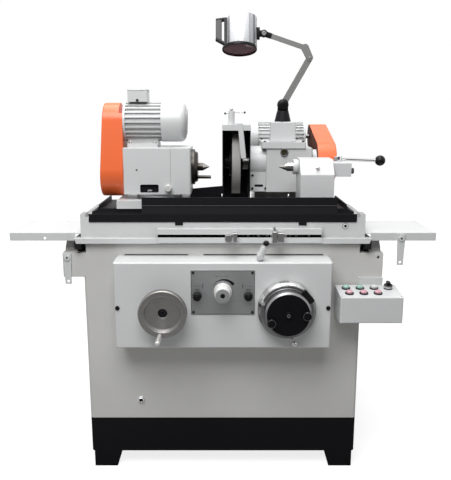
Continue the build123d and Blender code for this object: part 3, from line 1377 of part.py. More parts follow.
def tailstock_quill():
    seat_end = quill_front + CENTRE_SHANK_LENGTH
    return turned_x(
        [(quill_front, CENTRE_SHANK_RADIUS), (quill_front, QUILL_RADIUS - 2),
         (quill_front + 2, QUILL_RADIUS),
         (quill_front + QUILL_LENGTH, QUILL_RADIUS), (quill_front + QUILL_LENGTH, 0), (seat_end, 0),
         (seat_end, CENTRE_SHANK_RADIUS)], work_y, axis_z,
    )


def tailstock_centre():
    seat_end = quill_front + CENTRE_SHANK_LENGTH
    return turned_x(
        [(quill_front - 4 - CENTRE_POINT, 0), (quill_front - 4, CENTRE_SHANK_RADIUS),
         (seat_end, CENTRE_SHANK_RADIUS), (seat_end, 0)], work_y, axis_z,
    )


def tailstock_lever():
    """Hub and pin on the tailstock's rear block, with a rod that droops a little to a ball."""
    floor = tail_block_top + SLIDE_GAP
    body = rod_z(tail_lever_x, tail_lever_y, floor, floor + TAIL_LEVER_HUB_HEIGHT, TAIL_LEVER_HUB_RADIUS)
    body += rod_z(
        tail_lever_x, tail_lever_y, tail_block_top - TAIL_LEVER_PIN_LENGTH, floor, TAIL_LEVER_PIN_RADIUS
    )
    z = floor + TAIL_LEVER_HUB_HEIGHT / 2
    place = Pos(tail_lever_x, tail_lever_y, z) * Rot(0, 90 + TAIL_LEVER_DROOP, 0)
    body += place * Pos(0, 0, TAIL_LEVER_REACH / 2) * Cylinder(TAIL_LEVER_ROD_RADIUS, TAIL_LEVER_REACH)
    body += place * Pos(0, 0, TAIL_LEVER_REACH) * Sphere(TAIL_LEVER_BALL_RADIUS)
    return body


def wheel_slide():
    """Cross slide on the saddle ways, with the feed nut hanging into the base."""
    body = block(saddle_left, saddle_right, slide_front, slide_back, slide_bottom, wheelhead_floor)
    body -= prism_y(way_points(saddle_v_x, saddle_top, SLIDE_GAP, saddle_top), slide_front, slide_back)
    nut_low = screw_z - NUT_WIDTH / 2
    nut = block(
        screw_x - NUT_WIDTH / 2, screw_x + NUT_WIDTH / 2, nut_y - NUT_LENGTH / 2, nut_y + NUT_LENGTH / 2,
        nut_low, slide_bottom,
    )
    nut -= rod_y(screw_x, nut_y - NUT_LENGTH / 2, nut_y + NUT_LENGTH / 2, screw_z, SHAFT_RADIUS + RUN_GAP)
    return body + nut


def wheelhead_housing():
    """Casting that carries the wheel spindle, with its top plate, spindle nose and motor shelf."""
    body = block(HEAD_OFFSET, head_end, wheelhead_front, wheelhead_back, wheelhead_floor, wheelhead_top)
    body = fillet(body.edges().filter_by(Axis.Z), WORKHEAD_EDGE)
    shelf_back = wheelhead_back + MOTOR_SHELF_LENGTH
    shelf_front = wheelhead_back - WORKHEAD_EDGE
    body += block(HEAD_OFFSET, head_end, shelf_front, shelf_back, wheelhead_floor, shelf_top)
    lap = HEAD_PLATE_LAP
    plate = block(
        HEAD_OFFSET - HEAD_PLATE_LAP_LEFT, head_end - HEAD_PLATE_LAP_RIGHT, wheelhead_front - lap,
        wheel_motor_y - WHEEL_MOTOR_RADIUS - COWL_LIP - lap, wheelhead_top, plate_top,
    )
    body += fillet(plate.edges().filter_by(Axis.Z), HEAD_PLATE_LAP)
    body += rod_x(guard_right, HEAD_OFFSET, wheel_y, axis_z, HEAD_NOSE_RADIUS)
    bracket_front = wheelhead_front + HEAD_BRACKET_SETBACK
    body += block(
        guard_right, HEAD_OFFSET + WORKHEAD_EDGE, bracket_front, bracket_front + HEAD_BRACKET_DEPTH,
        wheelhead_floor, axis_z - HEAD_BRACKET_DROP,
    )
    body += rod_x(head_end, cap_face, wheel_y, axis_z, HEAD_CAP_RADIUS)
    sight_x = HEAD_OFFSET + SIGHT_OFFSET
    body += rod_y(sight_x, wheelhead_front - SIGHT_DEPTH, wheelhead_front, axis_z + SIGHT_RISE, SIGHT_RADIUS)
    return body - rod_x(guard_right, cap_face, wheel_y, axis_z, SPINDLE_RADIUS + RUN_GAP)


def wheel_spindle():
    """Spindle with the wheel flanges and nut at one end and the pulley at the other."""
    flange_left = wheel_left - WHEEL_FLANGE_WIDTH
    flange_right = wheel_right + WHEEL_FLANGE_WIDTH
    hub = WHEEL_BORE_RADIUS
    outline = [
        (flange_left - WHEEL_NUT_LENGTH, 0), (flange_left - WHEEL_NUT_LENGTH, WHEEL_NUT_RADIUS),
        (flange_left, WHEEL_NUT_RADIUS), (flange_left, WHEEL_FLANGE_RADIUS),
        (wheel_left, WHEEL_FLANGE_RADIUS), (wheel_left, hub), (wheel_right, hub),
        (wheel_right, WHEEL_FLANGE_RADIUS),
        (flange_right, WHEEL_FLANGE_RADIUS), (flange_right, SPINDLE_RADIUS),
        (wheel_pulley_left, SPINDLE_RADIUS), (wheel_pulley_left, WHEEL_PULLEY_RADIUS),
        (wheel_pulley_right, WHEEL_PULLEY_RADIUS), (wheel_pulley_right, 0),
    ]
    return turned_x(outline, wheel_y, axis_z)


def grinding_wheel():
    body = rod_x(wheel_left, wheel_right, wheel_y, axis_z, WHEEL_RADIUS)
    body = chamfer(body.edges().filter_by(GeomType.CIRCLE), 1)
    return body - rod_x(wheel_left, wheel_right, wheel_y, axis_z, WHEEL_BORE_RADIUS)


def hood_form(inset):
    """Wheel hood, straight in front of the wheel axis and round behind it, shrunk by inset all round."""
    x0 = guard_left + inset
    x1 = guard_right - inset
    bow = WHEEL_RADIUS + GUARD_TAIL_GAP + GUARD_SHEET
    bow_z = guard_top - bow
    form = block(x0, x1, guard_front, wheel_y, guard_floor, guard_top - inset)
    upper = block(x0, x1, wheel_y, guard_back, bow_z, guard_top)
    form += rod_x(x0, x1, wheel_y, bow_z, bow - inset) & upper
    return form + block(x0, x1, wheel_y, guard_back - inset, guard_floor, bow_z)


def wheel_guard():
    """Hood over the wheel, open to the work, with a thick brow, a back skirt and a splash sheet at its left."""
    sheet = GUARD_SHEET
    body = hood_form(0) - hood_form(sheet)
    body -= rod_x(guard_right - sheet, guard_right, wheel_y, axis_z, SPINDLE_RADIUS + sheet)
    brow_front = guard_front - GUARD_BROW_DEPTH
    body += block(guard_left, guard_right, brow_front, guard_front, guard_top - GUARD_BROW, guard_top)
    left = guard_left - APRON_SHEET_LENGTH
    sheet_y = guard_front + APRON_SHEET_SETBACK
    skirt = guard_floor - APRON_SHEET_SKIRT
    body += block(guard_left, guard_right, guard_back - sheet, guard_back, skirt, guard_floor)
    outline = [
        (left, skirt), (guard_right, skirt), (guard_right, guard_floor), (guard_left, guard_floor),
        (guard_left, guard_floor + APRON_SHEET_HIGH), (left, guard_floor + APRON_SHEET_LOW),
    ]
    return body + prism_y(outline, sheet_y, sheet_y + sheet)


def coolant_nozzle():
    """Flat coolant spout in front of the wheel, hung from the guard's brow, with its tap on top."""
    brow_front = guard_front - GUARD_BROW_DEPTH
    spout_back = brow_front - FREE_GAP / 4
    top = guard_top + NOZZLE_THICKNESS
    x = WHEEL_CENTRE + NOZZLE_OFFSET
    lean = NOZZLE_DROP * math.tan(math.radians(NOZZLE_LEAN))
    half = NOZZLE_WIDTH / 2
    low = top - NOZZLE_DROP
    outline = [(x - half, top), (x + half, top), (x + half + lean, low), (x - half + lean, low)]
    spout = prism_y(outline, spout_back - NOZZLE_THICKNESS, spout_back)
    spout += block(x - half, x + half, spout_back - NOZZLE_THICKNESS, guard_front + half, guard_top, top)
    tap_x = guard_left + TAP_OFFSET
    tap_y = guard_front
    spout += block(tap_x, x, tap_y - half / 2, tap_y + half / 2, guard_top, top)
    return spout + rod_z(tap_x, tap_y, guard_top, guard_top + TAP_HEIGHT, TAP_RADIUS)


def wheel_motor():
    return motor(
        head_end, WHEEL_MOTOR_FRAME, WHEEL_MOTOR_COWL, wheel_motor_y, wheel_motor_z, WHEEL_MOTOR_RADIUS,
        shelf_top, -1, -90,
    )


def wheel_rotor():
    far = head_end - WHEEL_MOTOR_FRAME - WHEEL_MOTOR_COWL / 2
    return motor_rotor(
        wheel_pulley_left, wheel_pulley_right, far, wheel_motor_y, wheel_motor_z, WHEEL_MOTOR_PULLEY_RADIUS
    )


def wheel_belt_guard():
    """Hollow guard over the wheel drive, with a back plate that the shafts pass."""
    low = (wheel_y, axis_z, WHEEL_GUARD_LOW_RADIUS)
    high = (wheel_motor_y, wheel_motor_z, WHEEL_GUARD_HIGH_RADIUS)
    body = rounded_side(guard_form(cap_face, wheel_guard_right, low, high, 0), -1, GUARD_EDGE)
    room = guard_form(cap_face, wheel_guard_right, low, high, GUARD_WALL)
    body -= rounded_side(room, -1, GUARD_EDGE - GUARD_WALL)
    body -= rod_x(cap_face, cap_face + GUARD_WALL, wheel_y, axis_z, SPINDLE_RADIUS + GUARD_WALL)
    inner_face = cap_face + GUARD_WALL
    return body - rod_x(cap_face, inner_face, wheel_motor_y, wheel_motor_z, ROTOR_RADIUS + GUARD_WALL)


def wheel_belt():
    start = wheel_pulley_left + (PULLEY_WIDTH - BELT_WIDTH) / 2
    low = (wheel_y, axis_z, WHEEL_PULLEY_RADIUS)
    high = (wheel_motor_y, wheel_motor_z, WHEEL_MOTOR_PULLEY_RADIUS)
    return drive_belt(start, low, high)


def switch_box():
    """Box on the wheelhead, with a socket in its lid that the lamp swivels in."""
    body = block(
        switch_left, switch_left + SWITCH_BOX_WIDTH, switch_front, switch_front + SWITCH_BOX_DEPTH,
        plate_top, switch_top, SWITCH_BOX_EDGE,
    )
    socket = switch_top - LAMP_SPIGOT_LENGTH - FREE_GAP
    return body - rod_z(lamp_x, lamp_y, socket, switch_top, LAMP_SPIGOT_RADIUS + RUN_GAP)


def lamp_fork(x, z, reach):
    """Two round cheeks about a pivot along Y, reaching down to the base by the given reach."""
    half = LAMP_CHEEK_RADIUS
    cheeks = []
    for side in (-1, 1):
        y0, y1 = sorted((lamp_y + side * fork_inner, lamp_y + side * fork_outer))
        cheek = block(x - half, x + half, y0, y1, z - reach, z)
        cheek += rod_y(x, y0, y1, z, half)
        cheek -= rod_y(x, y0, y1, z, LAMP_PIN_RADIUS + RUN_GAP)
        cheeks.append(cheek)
    return cheeks[0] + cheeks[1]


def lamp_base():
    """Tapered swivel base with two cheeks for the lower arm."""
    floor = switch_top + SLIDE_GAP
    top = floor + LAMP_BASE_HEIGHT
    cone = Cone(LAMP_BASE_RADIUS, LAMP_BASE_TOP_RADIUS, LAMP_BASE_HEIGHT)
    body = Pos(lamp_x, lamp_y, (floor + top) / 2) * cone
    body += rod_z(lamp_x, lamp_y, switch_top - LAMP_SPIGOT_LENGTH, floor, LAMP_SPIGOT_RADIUS)
    return body + lamp_fork(lamp_x, lamp_pivot_z, lamp_pivot_z - top + LAMP_FORK_THICKNESS)


def lamp_lower_arm():
    """Flat arm with a pivot pin through each end."""
    half = LAMP_ARM_WIDTH / 2
    y0 = lamp_y - LAMP_ARM_THICKNESS / 2
    y1 = lamp_y + LAMP_ARM_THICKNESS / 2
    body = loop_y(y0, y1, lamp_x, lamp_pivot_z, half, elbow_x, elbow_z, half - RUN_GAP)
    for x, z in ((lamp_x, lamp_pivot_z), (elbow_x, elbow_z)):
        body += rod_y(x, lamp_y - fork_outer, lamp_y + fork_outer, z, LAMP_PIN_RADIUS)
    return body


def lamp_upper_arm():
    """Cranked and forked arm from the elbow to the lamp head, with a pin for the head."""
    half = LAMP_ARM_WIDTH / 2
    y0 = lamp_y - fork_outer
    y1 = lamp_y + fork_outer
    beam = LAMP_UPPER_WIDTH / 2
    arm = loop_y(y0, y1, crank_x, crank_z, beam, lamp_head_pin_x, lamp_head_pin_z, beam - RUN_GAP)
    arm += rod_y(lamp_head_pin_x, y0, y1, lamp_head_pin_z, half - RUN_GAP)
    arm += loop_y(y0, y1, crank_x, crank_z, LAMP_CRANK_WIDTH / 2, elbow_x, elbow_z, half - RUN_GAP)
    for x, z in ((elbow_x, elbow_z), (lamp_head_pin_x, lamp_head_pin_z)):
        arm -= rod_y(x, lamp_y - fork_inner, lamp_y + fork_inner, z, LAMP_ARM_WIDTH)
    arm -= rod_y(elbow_x, y0, y1, elbow_z, LAMP_PIN_RADIUS + RUN_GAP)
    return arm + rod_y(lamp_head_pin_x, y0, y1, lamp_head_pin_z, LAMP_PIN_RADIUS)


def lamp_handle(side, floor, top):
    """Closed loop handle beside the lamp housing, with a wide grip and a slanting lower arm."""
    out = side - LAMP_HANDLE_REACH
    grip = out + LAMP_HANDLE_GRIP
    seat = side - LAMP_HANDLE_SEAT
    rim = side + LAMP_HANDLE_SEAT
    thick = LAMP_HANDLE_THICKNESS
    low = floor + LAMP_HANDLE_LIFT
    foot = low - LAMP_HANDLE_SLANT
    outline = [(rim, top), (seat, top), (out, top - thick), (out, low), (seat, foot), (rim, foot)]
    gap = [
        (seat, top - thick), (grip, top - 2 * thick), (grip, low + thick / 2), (seat, foot + 2 * thick),
    ]
    half = LAMP_HANDLE_WIDTH / 2
    return prism_y(outline, -half, half) - prism_y(gap, -half, half)


def lamp_head():
    """Round lamp housing on a wider bezel, with its lens, its handle and the tongue of its joint."""
    x = lamp_head_pin_x - LAMP_NECK - LAMP_HEAD_RADIUS
    height = LAMP_BEZEL_HEIGHT + LAMP_HEAD_HEIGHT
    wall = LAMP_HEAD_WALL
    shift = LAMP_HEAD_RADIUS - LAMP_BEZEL_RADIUS
    place = Pos(x, lamp_y, lamp_head_pin_z) * Rot(-LAMP_HEAD_TILT, 0, 0) * Pos(0, 0, -LAMP_HEAD_DROP)
    can = rod_z(0, 0, 0, height, LAMP_HEAD_RADIUS)
    can = fillet(can.faces().sort_by(Axis.Z)[-1].edges(), wall)
    outside = can + rod_z(shift, 0, 0, LAMP_BEZEL_HEIGHT, LAMP_BEZEL_RADIUS)
    room = rod_z(0, 0, 0, height - wall, LAMP_HEAD_RADIUS - wall)
    room += rod_z(shift, 0, 0, LAMP_BEZEL_HEIGHT - wall, LAMP_BEZEL_RADIUS - wall)
    lens = rod_z(shift, 0, wall, 2 * wall, LAMP_BEZEL_RADIUS - wall)
    handle = lamp_handle(-LAMP_HEAD_RADIUS, LAMP_BEZEL_HEIGHT, height - wall)
    handle -= rod_z(0, 0, 0, height, LAMP_HEAD_RADIUS)
    y0 = lamp_y - LAMP_ARM_THICKNESS / 2
    y1 = lamp_y + LAMP_ARM_THICKNESS / 2
    eye = LAMP_ARM_WIDTH / 2
    root = x + LAMP_HEAD_RADIUS - 3 * wall
    pad = LAMP_PAD_WIDTH / 2
    rise = LAMP_PAD_HEIGHT / 2
    tongue = block(root, lamp_head_pin_x, y0, y1, lamp_head_pin_z - eye, lamp_head_pin_z + eye)
    tongue += rod_y(lamp_head_pin_x, y0, y1, lamp_head_pin_z, eye)
    tongue += block(
        root, x + LAMP_HEAD_RADIUS + LAMP_PAD_LENGTH, lamp_y - pad, lamp_y + pad,
        lamp_head_pin_z - rise, lamp_head_pin_z + rise, 2,
    )
    tongue -= rod_y(lamp_head_pin_x, y0, y1, lamp_head_pin_z, LAMP_PIN_RADIUS + RUN_GAP)
    return [place * outside + tongue - place * room, place * lens, place * handle]


def nodes():
    """Each piece under the name of its file."""
    throttle, dwell_left, dwell_right = knob_places()
    pieces = {
        "plinth": plinth(),
        "base_casting": base_casting(),
        "rear_cover": rear_cover(),
        "apron_box": apron_box(),
        "apron_panel": apron_panel(),
        "base_screws": base_screws(),
        "throttle_knob": throttle_knob(),
        "dwell_knob_left": dwell_knob(dwell_left),
        "dwell_knob_right": dwell_knob(dwell_right),
        "reversing_lever": reversing_lever(),
        "table_handwheel": table_handwheel(),
        "crossfeed_dial": crossfeed_dial(),
        "crossfeed_handwheel": crossfeed_handwheel(),
        "feed_screw": feed_screw(),
        "pendant_box": pendant_box(),
        "selector_knob": selector_knob(),
        "brace_left": brace(-ear_hole_x, ear_hole_z, EAR_HOLE_DEPTH),
        "brace_right": brace(cover_hole_x, cover_hole_z, 2 * COVER_SHEET),
        "lower_table": lower_table(),
        "way_wipers": way_wipers(),
        "way_covers": way_covers(),
        "table_dog_left": table_dog_left(),
        "table_dog_right": table_dog_right(),
        "coolant_tray": coolant_tray(),
        "splash_plate": splash_plate(),
        "upper_table": upper_table(),
        "workhead_base": workhead_base(),
        "workhead_housing": workhead_housing(),
        "workhead_lock_knob": lock_knob(),
        "work_spindle": work_spindle(),
        "work_centre": work_centre(),
        "workhead_belt_guard": workhead_belt_guard(),
        "workhead_belt": workhead_belt(),
        "workhead_motor": workhead_motor(),
        "workhead_rotor": workhead_rotor(),
        "tailstock_body": tailstock_body(),
        "tailstock_quill": tailstock_quill(),
        "tailstock_centre": tailstock_centre(),
        "tailstock_lever": tailstock_lever(),
        "wheel_slide": wheel_slide(),
        "wheelhead_housing": wheelhead_housing(),
        "wheel_spindle": wheel_spindle(),
        "grinding_wheel": grinding_wheel(),
        "wheel_guard": wheel_guard(),
        "coolant_nozzle": coolant_nozzle(),
        "wheel_motor": wheel_motor(),
        "wheel_rotor": wheel_rotor(),
        "wheel_belt_guard": wheel_belt_guard(),
        "wheel_belt": wheel_belt(),
        "switch_box": switch_box(),
        "lamp_base": lamp_base(),
        "lamp_lower_arm": lamp_lower_arm(),
        "lamp_upper_arm": lamp_upper_arm(),
        "lamp_head": lamp_head(),
    }
    names = ["green_button_left", "green_button_right", "white_button"]
    names += ["red_button_left", "red_button_middle", "red_button_right"]
    places = [place for place in button_places() if place != (3, 1)]
    for name, place in zip(names, places):
        pieces[name] = push_button(*place)
    return pieces


for node, piece in nodes().items():
    shape = Compound(piece) if isinstance(piece, list) else piece
    export_step(shape, f"parts/{node}.step")
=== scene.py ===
import bpy
import bmesh
import math
import numpy as np
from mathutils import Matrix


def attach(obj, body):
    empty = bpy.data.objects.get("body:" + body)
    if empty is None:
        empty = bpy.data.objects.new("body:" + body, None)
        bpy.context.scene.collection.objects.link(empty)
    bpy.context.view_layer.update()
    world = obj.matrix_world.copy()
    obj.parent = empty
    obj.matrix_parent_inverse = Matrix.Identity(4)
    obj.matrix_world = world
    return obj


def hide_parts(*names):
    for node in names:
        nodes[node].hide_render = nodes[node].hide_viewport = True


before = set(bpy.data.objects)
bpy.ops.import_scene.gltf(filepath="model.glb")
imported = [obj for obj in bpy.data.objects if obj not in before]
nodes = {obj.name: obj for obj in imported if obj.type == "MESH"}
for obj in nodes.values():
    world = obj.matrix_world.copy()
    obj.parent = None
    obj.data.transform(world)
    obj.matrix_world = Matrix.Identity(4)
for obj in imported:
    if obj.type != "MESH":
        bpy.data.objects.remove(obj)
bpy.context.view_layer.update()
scene = bpy.context.scene


# camera at the height of the lamp arm, tipped down a little
viewpoint = {"place": (0.009, -2.468, 1.304), "pitch": 78.0, "lens": 46.5, "sensor": 36.0}

camera = bpy.data.objects.new("viewCamera", bpy.data.cameras.new("viewCamera"))
camera.location = viewpoint["place"]
camera.rotation_euler = (math.radians(viewpoint["pitch"]), 0.0, 0.0)
camera.data.lens = viewpoint["lens"]
camera.data.sensor_fit = "VERTICAL"
camera.data.sensor_height = viewpoint["sensor"]
scene.collection.objects.link(camera)
scene.camera = camera
scene.view_settings.view_transform = "Standard"


# sockets of a node, each linked or set
def feed(tree, node, feeds):
    for key, value in feeds.items():
        if isinstance(value, bpy.types.NodeSocket):
            tree.links.new(value, node.inputs[key])
        else:
            node.inputs[key].default_value = value


# one shader node, its settings made and its sockets fed
def wire(tree, kind, feeds=None, **settings):
    node = tree.nodes.new("ShaderNode" + kind)
    for key, value in settings.items():
        setattr(node, key, value)
    feed(tree, node, feeds or {})
    return node


def calc(tree, how, *terms):
    return wire(tree, "Math", dict(enumerate(terms)), operation=how).outputs[0]


def spread(tree, value, low, high, newLow=0.0, newHigh=1.0):
    feeds = {"Value": value, "From Min": low, "From Max": high, "To Min": newLow, "To Max": newHigh}
    return wire(tree, "MapRange", feeds).outputs["Result"]


def mixed(tree, factor, first, second):
    return wire(tree, "Mix", {0: factor, 6: first, 7: second}, data_type="RGBA").outputs[2]


def noise(tree, place, scale, detail, rough=0.5):
    feeds = {"Vector": place, "Scale": scale, "Detail": detail, "Roughness": rough}
    return wire(tree, "TexNoise", feeds).outputs["Fac"]


def newGroup(name, inputs, outputs):
    made = bpy.data.node_groups.new(name, "ShaderNodeTree")
    for way, sockets in (("INPUT", inputs), ("OUTPUT", outputs)):
        for label, kind in sockets.items():
            made.interface.new_socket(label, in_out=way, socket_type="NodeSocket" + kind)
    return made, made.nodes.new("NodeGroupInput").outputs, made.nodes.new("NodeGroupOutput")


heightAndTone = {"Height": "Float", "Tone": "Float"}
reachAndAmount = {"Vector": "Vector", "Reach": "Float", "Amount": "Float"}


# sprayed paint: broad peel with a finer dimple, and a slow drift of tone
def makePaintSkin():
    tree, given, sent = newGroup("paintSkin", {"Vector": "Vector", "Peel": "Float"}, heightAndTone)
    broad = noise(tree, given["Vector"], given["Peel"], 2.0)
    fine = noise(tree, given["Vector"], calc(tree, "MULTIPLY", given["Peel"], 4.5), 2.0)
    drift = noise(tree, given["Vector"], 4.0, 5.0, 0.62)
    feed(tree, sent, {"Height": calc(tree, "MULTIPLY_ADD", fine, 0.3, broad),
                      "Tone": spread(tree, drift, 0.32, 0.68)})
    return tree


# worn edges: where the rounded normal turns away from the face, broken up by a noise
def makeEdgeWear():
    tree, given, sent = newGroup("edgeWear", reachAndAmount, {"Mask": "Float", "Normal": "Vector"})
    eased = wire(tree, "Bevel", {"Radius": given["Reach"]}, samples=6).outputs["Normal"]
    plain = wire(tree, "NewGeometry").outputs["Normal"]
    same = wire(tree, "VectorMath", {0: eased, 1: plain}, operation="DOT_PRODUCT").outputs["Value"]
    turned = spread(tree, calc(tree, "SUBTRACT", 1.0, same), 0.03, 0.22)
    broken = spread(tree, noise(tree, given["Vector"], 45.0, 6.0, 0.7), 0.46, 0.64)
    mask = calc(tree, "MULTIPLY", calc(tree, "MULTIPLY", turned, broken), given["Amount"])
    feed(tree, sent, {"Mask": mask, "Normal": eased})
    return tree


# grime and painted shade in corners, found by ambient occlusion, patchy
def makeGrimeAndShade():
    tree, given, sent = newGroup("grimeAndShade", reachAndAmount, {"Mask": "Float"})
    hidden = wire(tree, "AmbientOcclusion", {"Distance": given["Reach"]}, samples=5, only_local=True)
    corner = spread(tree, hidden.outputs["AO"], 0.85, 0.35)
    patch = spread(tree, noise(tree, given["Vector"], 18.0, 5.0, 0.65), 0.3, 0.7, 0.35, 1.0)
    mask = calc(tree, "MULTIPLY", calc(tree, "MULTIPLY", corner, patch), given["Amount"])
    feed(tree, sent, {"Mask": mask})
    return tree


# height from machining lines, tone from the same lines with a share of cloud
def sendLines(tree, sent, lines, cloud, share):
    tone = calc(tree, "MULTIPLY_ADD", cloud, share, calc(tree, "MULTIPLY", lines, 1.0 - share))
    feed(tree, sent, {"Height": lines, "Tone": spread(tree, tone, 0.36, 0.64)})


# straight machining lines: a noise drawn out along the direction with the small stretch
def makeGrain():
    tree, given, sent = newGroup("groundLines", {"Vector": "Vector", "Stretch": "Vector"}, heightAndTone)
    drawn = wire(tree, "VectorMath", {0: given["Vector"], 1: given["Stretch"]}, operation="MULTIPLY")
    lines = noise(tree, drawn.outputs["Vector"], 1.0, 3.0, 0.6)
    sendLines(tree, sent, lines, noise(tree, given["Vector"], 7.0, 5.0, 0.65), 0.6)
    return tree


# turning lines: a noise read by distance from the local Z axis, so it makes rings
def makeRings():
    tree, given, sent = newGroup("turnedLines", {"Vector": "Vector", "Pitch": "Float"}, heightAndTone)
    parts = wire(tree, "SeparateXYZ", {0: given["Vector"]}).outputs
    across = wire(tree, "CombineXYZ", {0: parts[0], 1: parts[1]}).outputs[0]
    reach = wire(tree, "VectorMath", {0: across}, operation="LENGTH").outputs["Value"]
    ring = wire(tree, "CombineXYZ", {0: reach, 1: parts[2]}).outputs[0]
    lines = noise(tree, ring, given["Pitch"], 3.0, 0.7)
    sendLines(tree, sent, lines, noise(tree, given["Vector"], 22.0, 4.0, 0.6), 0.45)
    return tree


paintSkin, edgeWear, grimeAndShade = makePaintSkin(), makeEdgeWear(), makeGrimeAndShade()
groundLines, turnedLines = makeGrain(), makeRings()
finishes = {}


def group(tree, shared, **feeds):
    return wire(tree, "Group", feeds, node_tree=shared).outputs


# a new material, kept under its name
def startFinish(name):
    finish = finishes[name] = bpy.data.materials.new(name)
    finish.use_nodes = True
    tree = finish.node_tree
    tree.nodes.clear()
    shader = wire(tree, "BsdfPrincipled")
    wire(tree, "OutputMaterial", {"Surface": shader.outputs[0]})
    return tree, shader, wire(tree, "TexCoord").outputs["Object"]


def full(colour, level=1.0):
    return (colour[0] * level, colour[1] * level, colour[2] * level, 1.0)


def aboutAxle(tree, place, axle):
    feeds = {"Vector": place, "Location": axle[0], "Rotation": axle[1]}
    return wire(tree, "Mapping", feeds, vector_type="TEXTURE").outputs["Vector"]


def bumped(tree, strength, distance, **feeds):
    return wire(tree, "Bump", {"Strength": strength, "Distance": distance, **feeds}).outputs["Normal"]


# colour drifting with the tone of a skin, darkened in corners by grime and painted shade and worn at edges, both
# given as (reach, amount, colour);
# gloss is the roughness at low and at high tone, relief the strength and distance of the skin's bumps
def layered(tree, shader, place, skin, colour, drift, soilShade, wear, gloss, relief, **plain):
    edge = group(tree, edgeWear, Vector=place, Reach=wear[0], Amount=wear[1])
    dirtAndShade = group(tree, grimeAndShade, Vector=place, Reach=soilShade[0], Amount=soilShade[1])
    shade = mixed(tree, skin["Tone"], full(colour, drift), full(colour))
    shade = mixed(tree, dirtAndShade["Mask"], shade, full(soilShade[2]))
    shade = mixed(tree, edge["Mask"], shade, full(wear[2]))
    feed(tree, shader, {"Base Color": shade, "Roughness": spread(tree, skin["Tone"], 0.0, 1.0, *gloss),
                        "Normal": bumped(tree, *relief, Height=skin["Height"], Normal=edge["Normal"])})
    feed(tree, shader, plain)


# sprayed or powder paint over iron
def paint(name, colour, rough=0.38, peel=420.0, relief=0.12, wear=0.5, bare=(0.3, 0.29, 0.28),
          grimeShade=0.35, soilShade=(0.09, 0.085, 0.08), coat=0.0, shine=0.5):
    tree, shader, place = startFinish(name)
    skin = group(tree, paintSkin, Vector=place, Peel=peel)
    layered(tree, shader, place, skin, colour, 0.93, (0.03, grimeShade, soilShade), (0.0012, wear, bare),
            (rough * 1.15, rough * 0.88), (relief, 0.0006),
            **{"Coat Weight": coat, "Coat Roughness": 0.12, "Specular IOR Level": shine})


# ground, brushed or turned metal; with an axle it is turned about that axis, else drawn along its grain
def metal(name, colour, rough=0.3, stretch=(40.0, 1500.0, 1500.0), axle=None, relief=0.1, grimeShade=0.3, drift=0.75):
    tree, shader, place = startFinish(name)
    if axle:
        lines = group(tree, turnedLines, Vector=aboutAxle(tree, place, axle), Pitch=900.0)
    else:
        lines = group(tree, groundLines, Vector=place, Stretch=stretch)
    layered(tree, shader, place, lines, colour, drift, (0.015, grimeShade, (0.05, 0.045, 0.04)),
            (0.0006, 0.6, full(colour, 1.12)), (rough * 1.3, rough * 0.8), (relief, 0.0003), Metallic=1.0)


# moulded plastic and rubber: fine grained skin, scuffed along the edges
def moulded(name, colour, rough=0.35, grain=900.0, relief=0.08, scuff=0.25, coat=0.0, shine=0.5):
    tree, shader, place = startFinish(name)
    skin = group(tree, paintSkin, Vector=place, Peel=grain)
    layered(tree, shader, place, skin, colour, 0.86, (0.006, 0.25, full(colour, 0.4)),
            (0.0006, scuff, [0.6 * c + 0.12 for c in colour]), (rough * 1.2, rough * 0.85), (relief, 0.0003),
            **{"Coat Weight": coat, "Specular IOR Level": shine})


# bonded grit: pale grains in a darker bond, pitted
def grit(name, pale, bond):
    tree, shader, place = startFinish(name)
    depth = wire(tree, "TexVoronoi", {"Vector": place, "Scale": 900.0}).outputs["Distance"]
    skin = group(tree, paintSkin, Vector=place, Peel=260.0)
    grains = spread(tree, depth, 0.1, 0.6)
    shade = mixed(tree, grains, full(pale), full(bond))
    shade = mixed(tree, calc(tree, "MULTIPLY", skin["Tone"], 0.35), shade, full(pale, 1.1))
    feed(tree, shader, {"Base Color": shade, "Roughness": spread(tree, grains, 0.0, 1.0, 0.75, 0.95),
                        "Normal": bumped(tree, 0.5, 0.0005, Height=depth)})


def glass(name, colour, rough, clear):
    tree, shader, place = startFinish(name)
    smear = spread(tree, noise(tree, place, 60.0, 4.0, 0.6), 0.35, 0.65, rough, rough * 2.2)
    feed(tree, shader, {"Base Color": full(colour), "Roughness": smear, "Transmission Weight": clear, "IOR": 1.48})


# drawn metal with painted reflections and painted shade in long streaks: tone by the angle round an axis, bands given
# as (share of a turn, level)
def reflectionStreaked(name, tint, bands, axle, rough, metallic):
    tree, shader, place = startFinish(name)
    local = aboutAxle(tree, place, axle)
    parts = wire(tree, "SeparateXYZ", {0: local}).outputs
    angle = calc(tree, "ARCTAN2", parts[1], parts[0])
    lines = group(tree, groundLines, Vector=local, Stretch=(900.0, 900.0, 12.0))
    ramp = wire(tree, "ValToRGB", {"Fac": spread(tree, angle, -math.pi, math.pi)})
    steps = ramp.color_ramp.elements
    for at, level in bands[1:-1]:
        steps.new(at).color = full(tint, level)
    steps[0].color, steps[-1].color = full(tint, bands[0][1]), full(tint, bands[-1][1])
    haze = calc(tree, "MULTIPLY", lines["Tone"], 0.12)
    feed(tree, shader, {"Base Color": mixed(tree, haze, ramp.outputs["Color"], full((0.5, 0.5, 0.52))),
                        "Roughness": spread(tree, lines["Tone"], 0.0, 1.0, rough * 1.3, rough),
                        "Normal": bumped(tree, 0.05, 0.0003, Height=lines["Height"]), "Metallic": metallic})


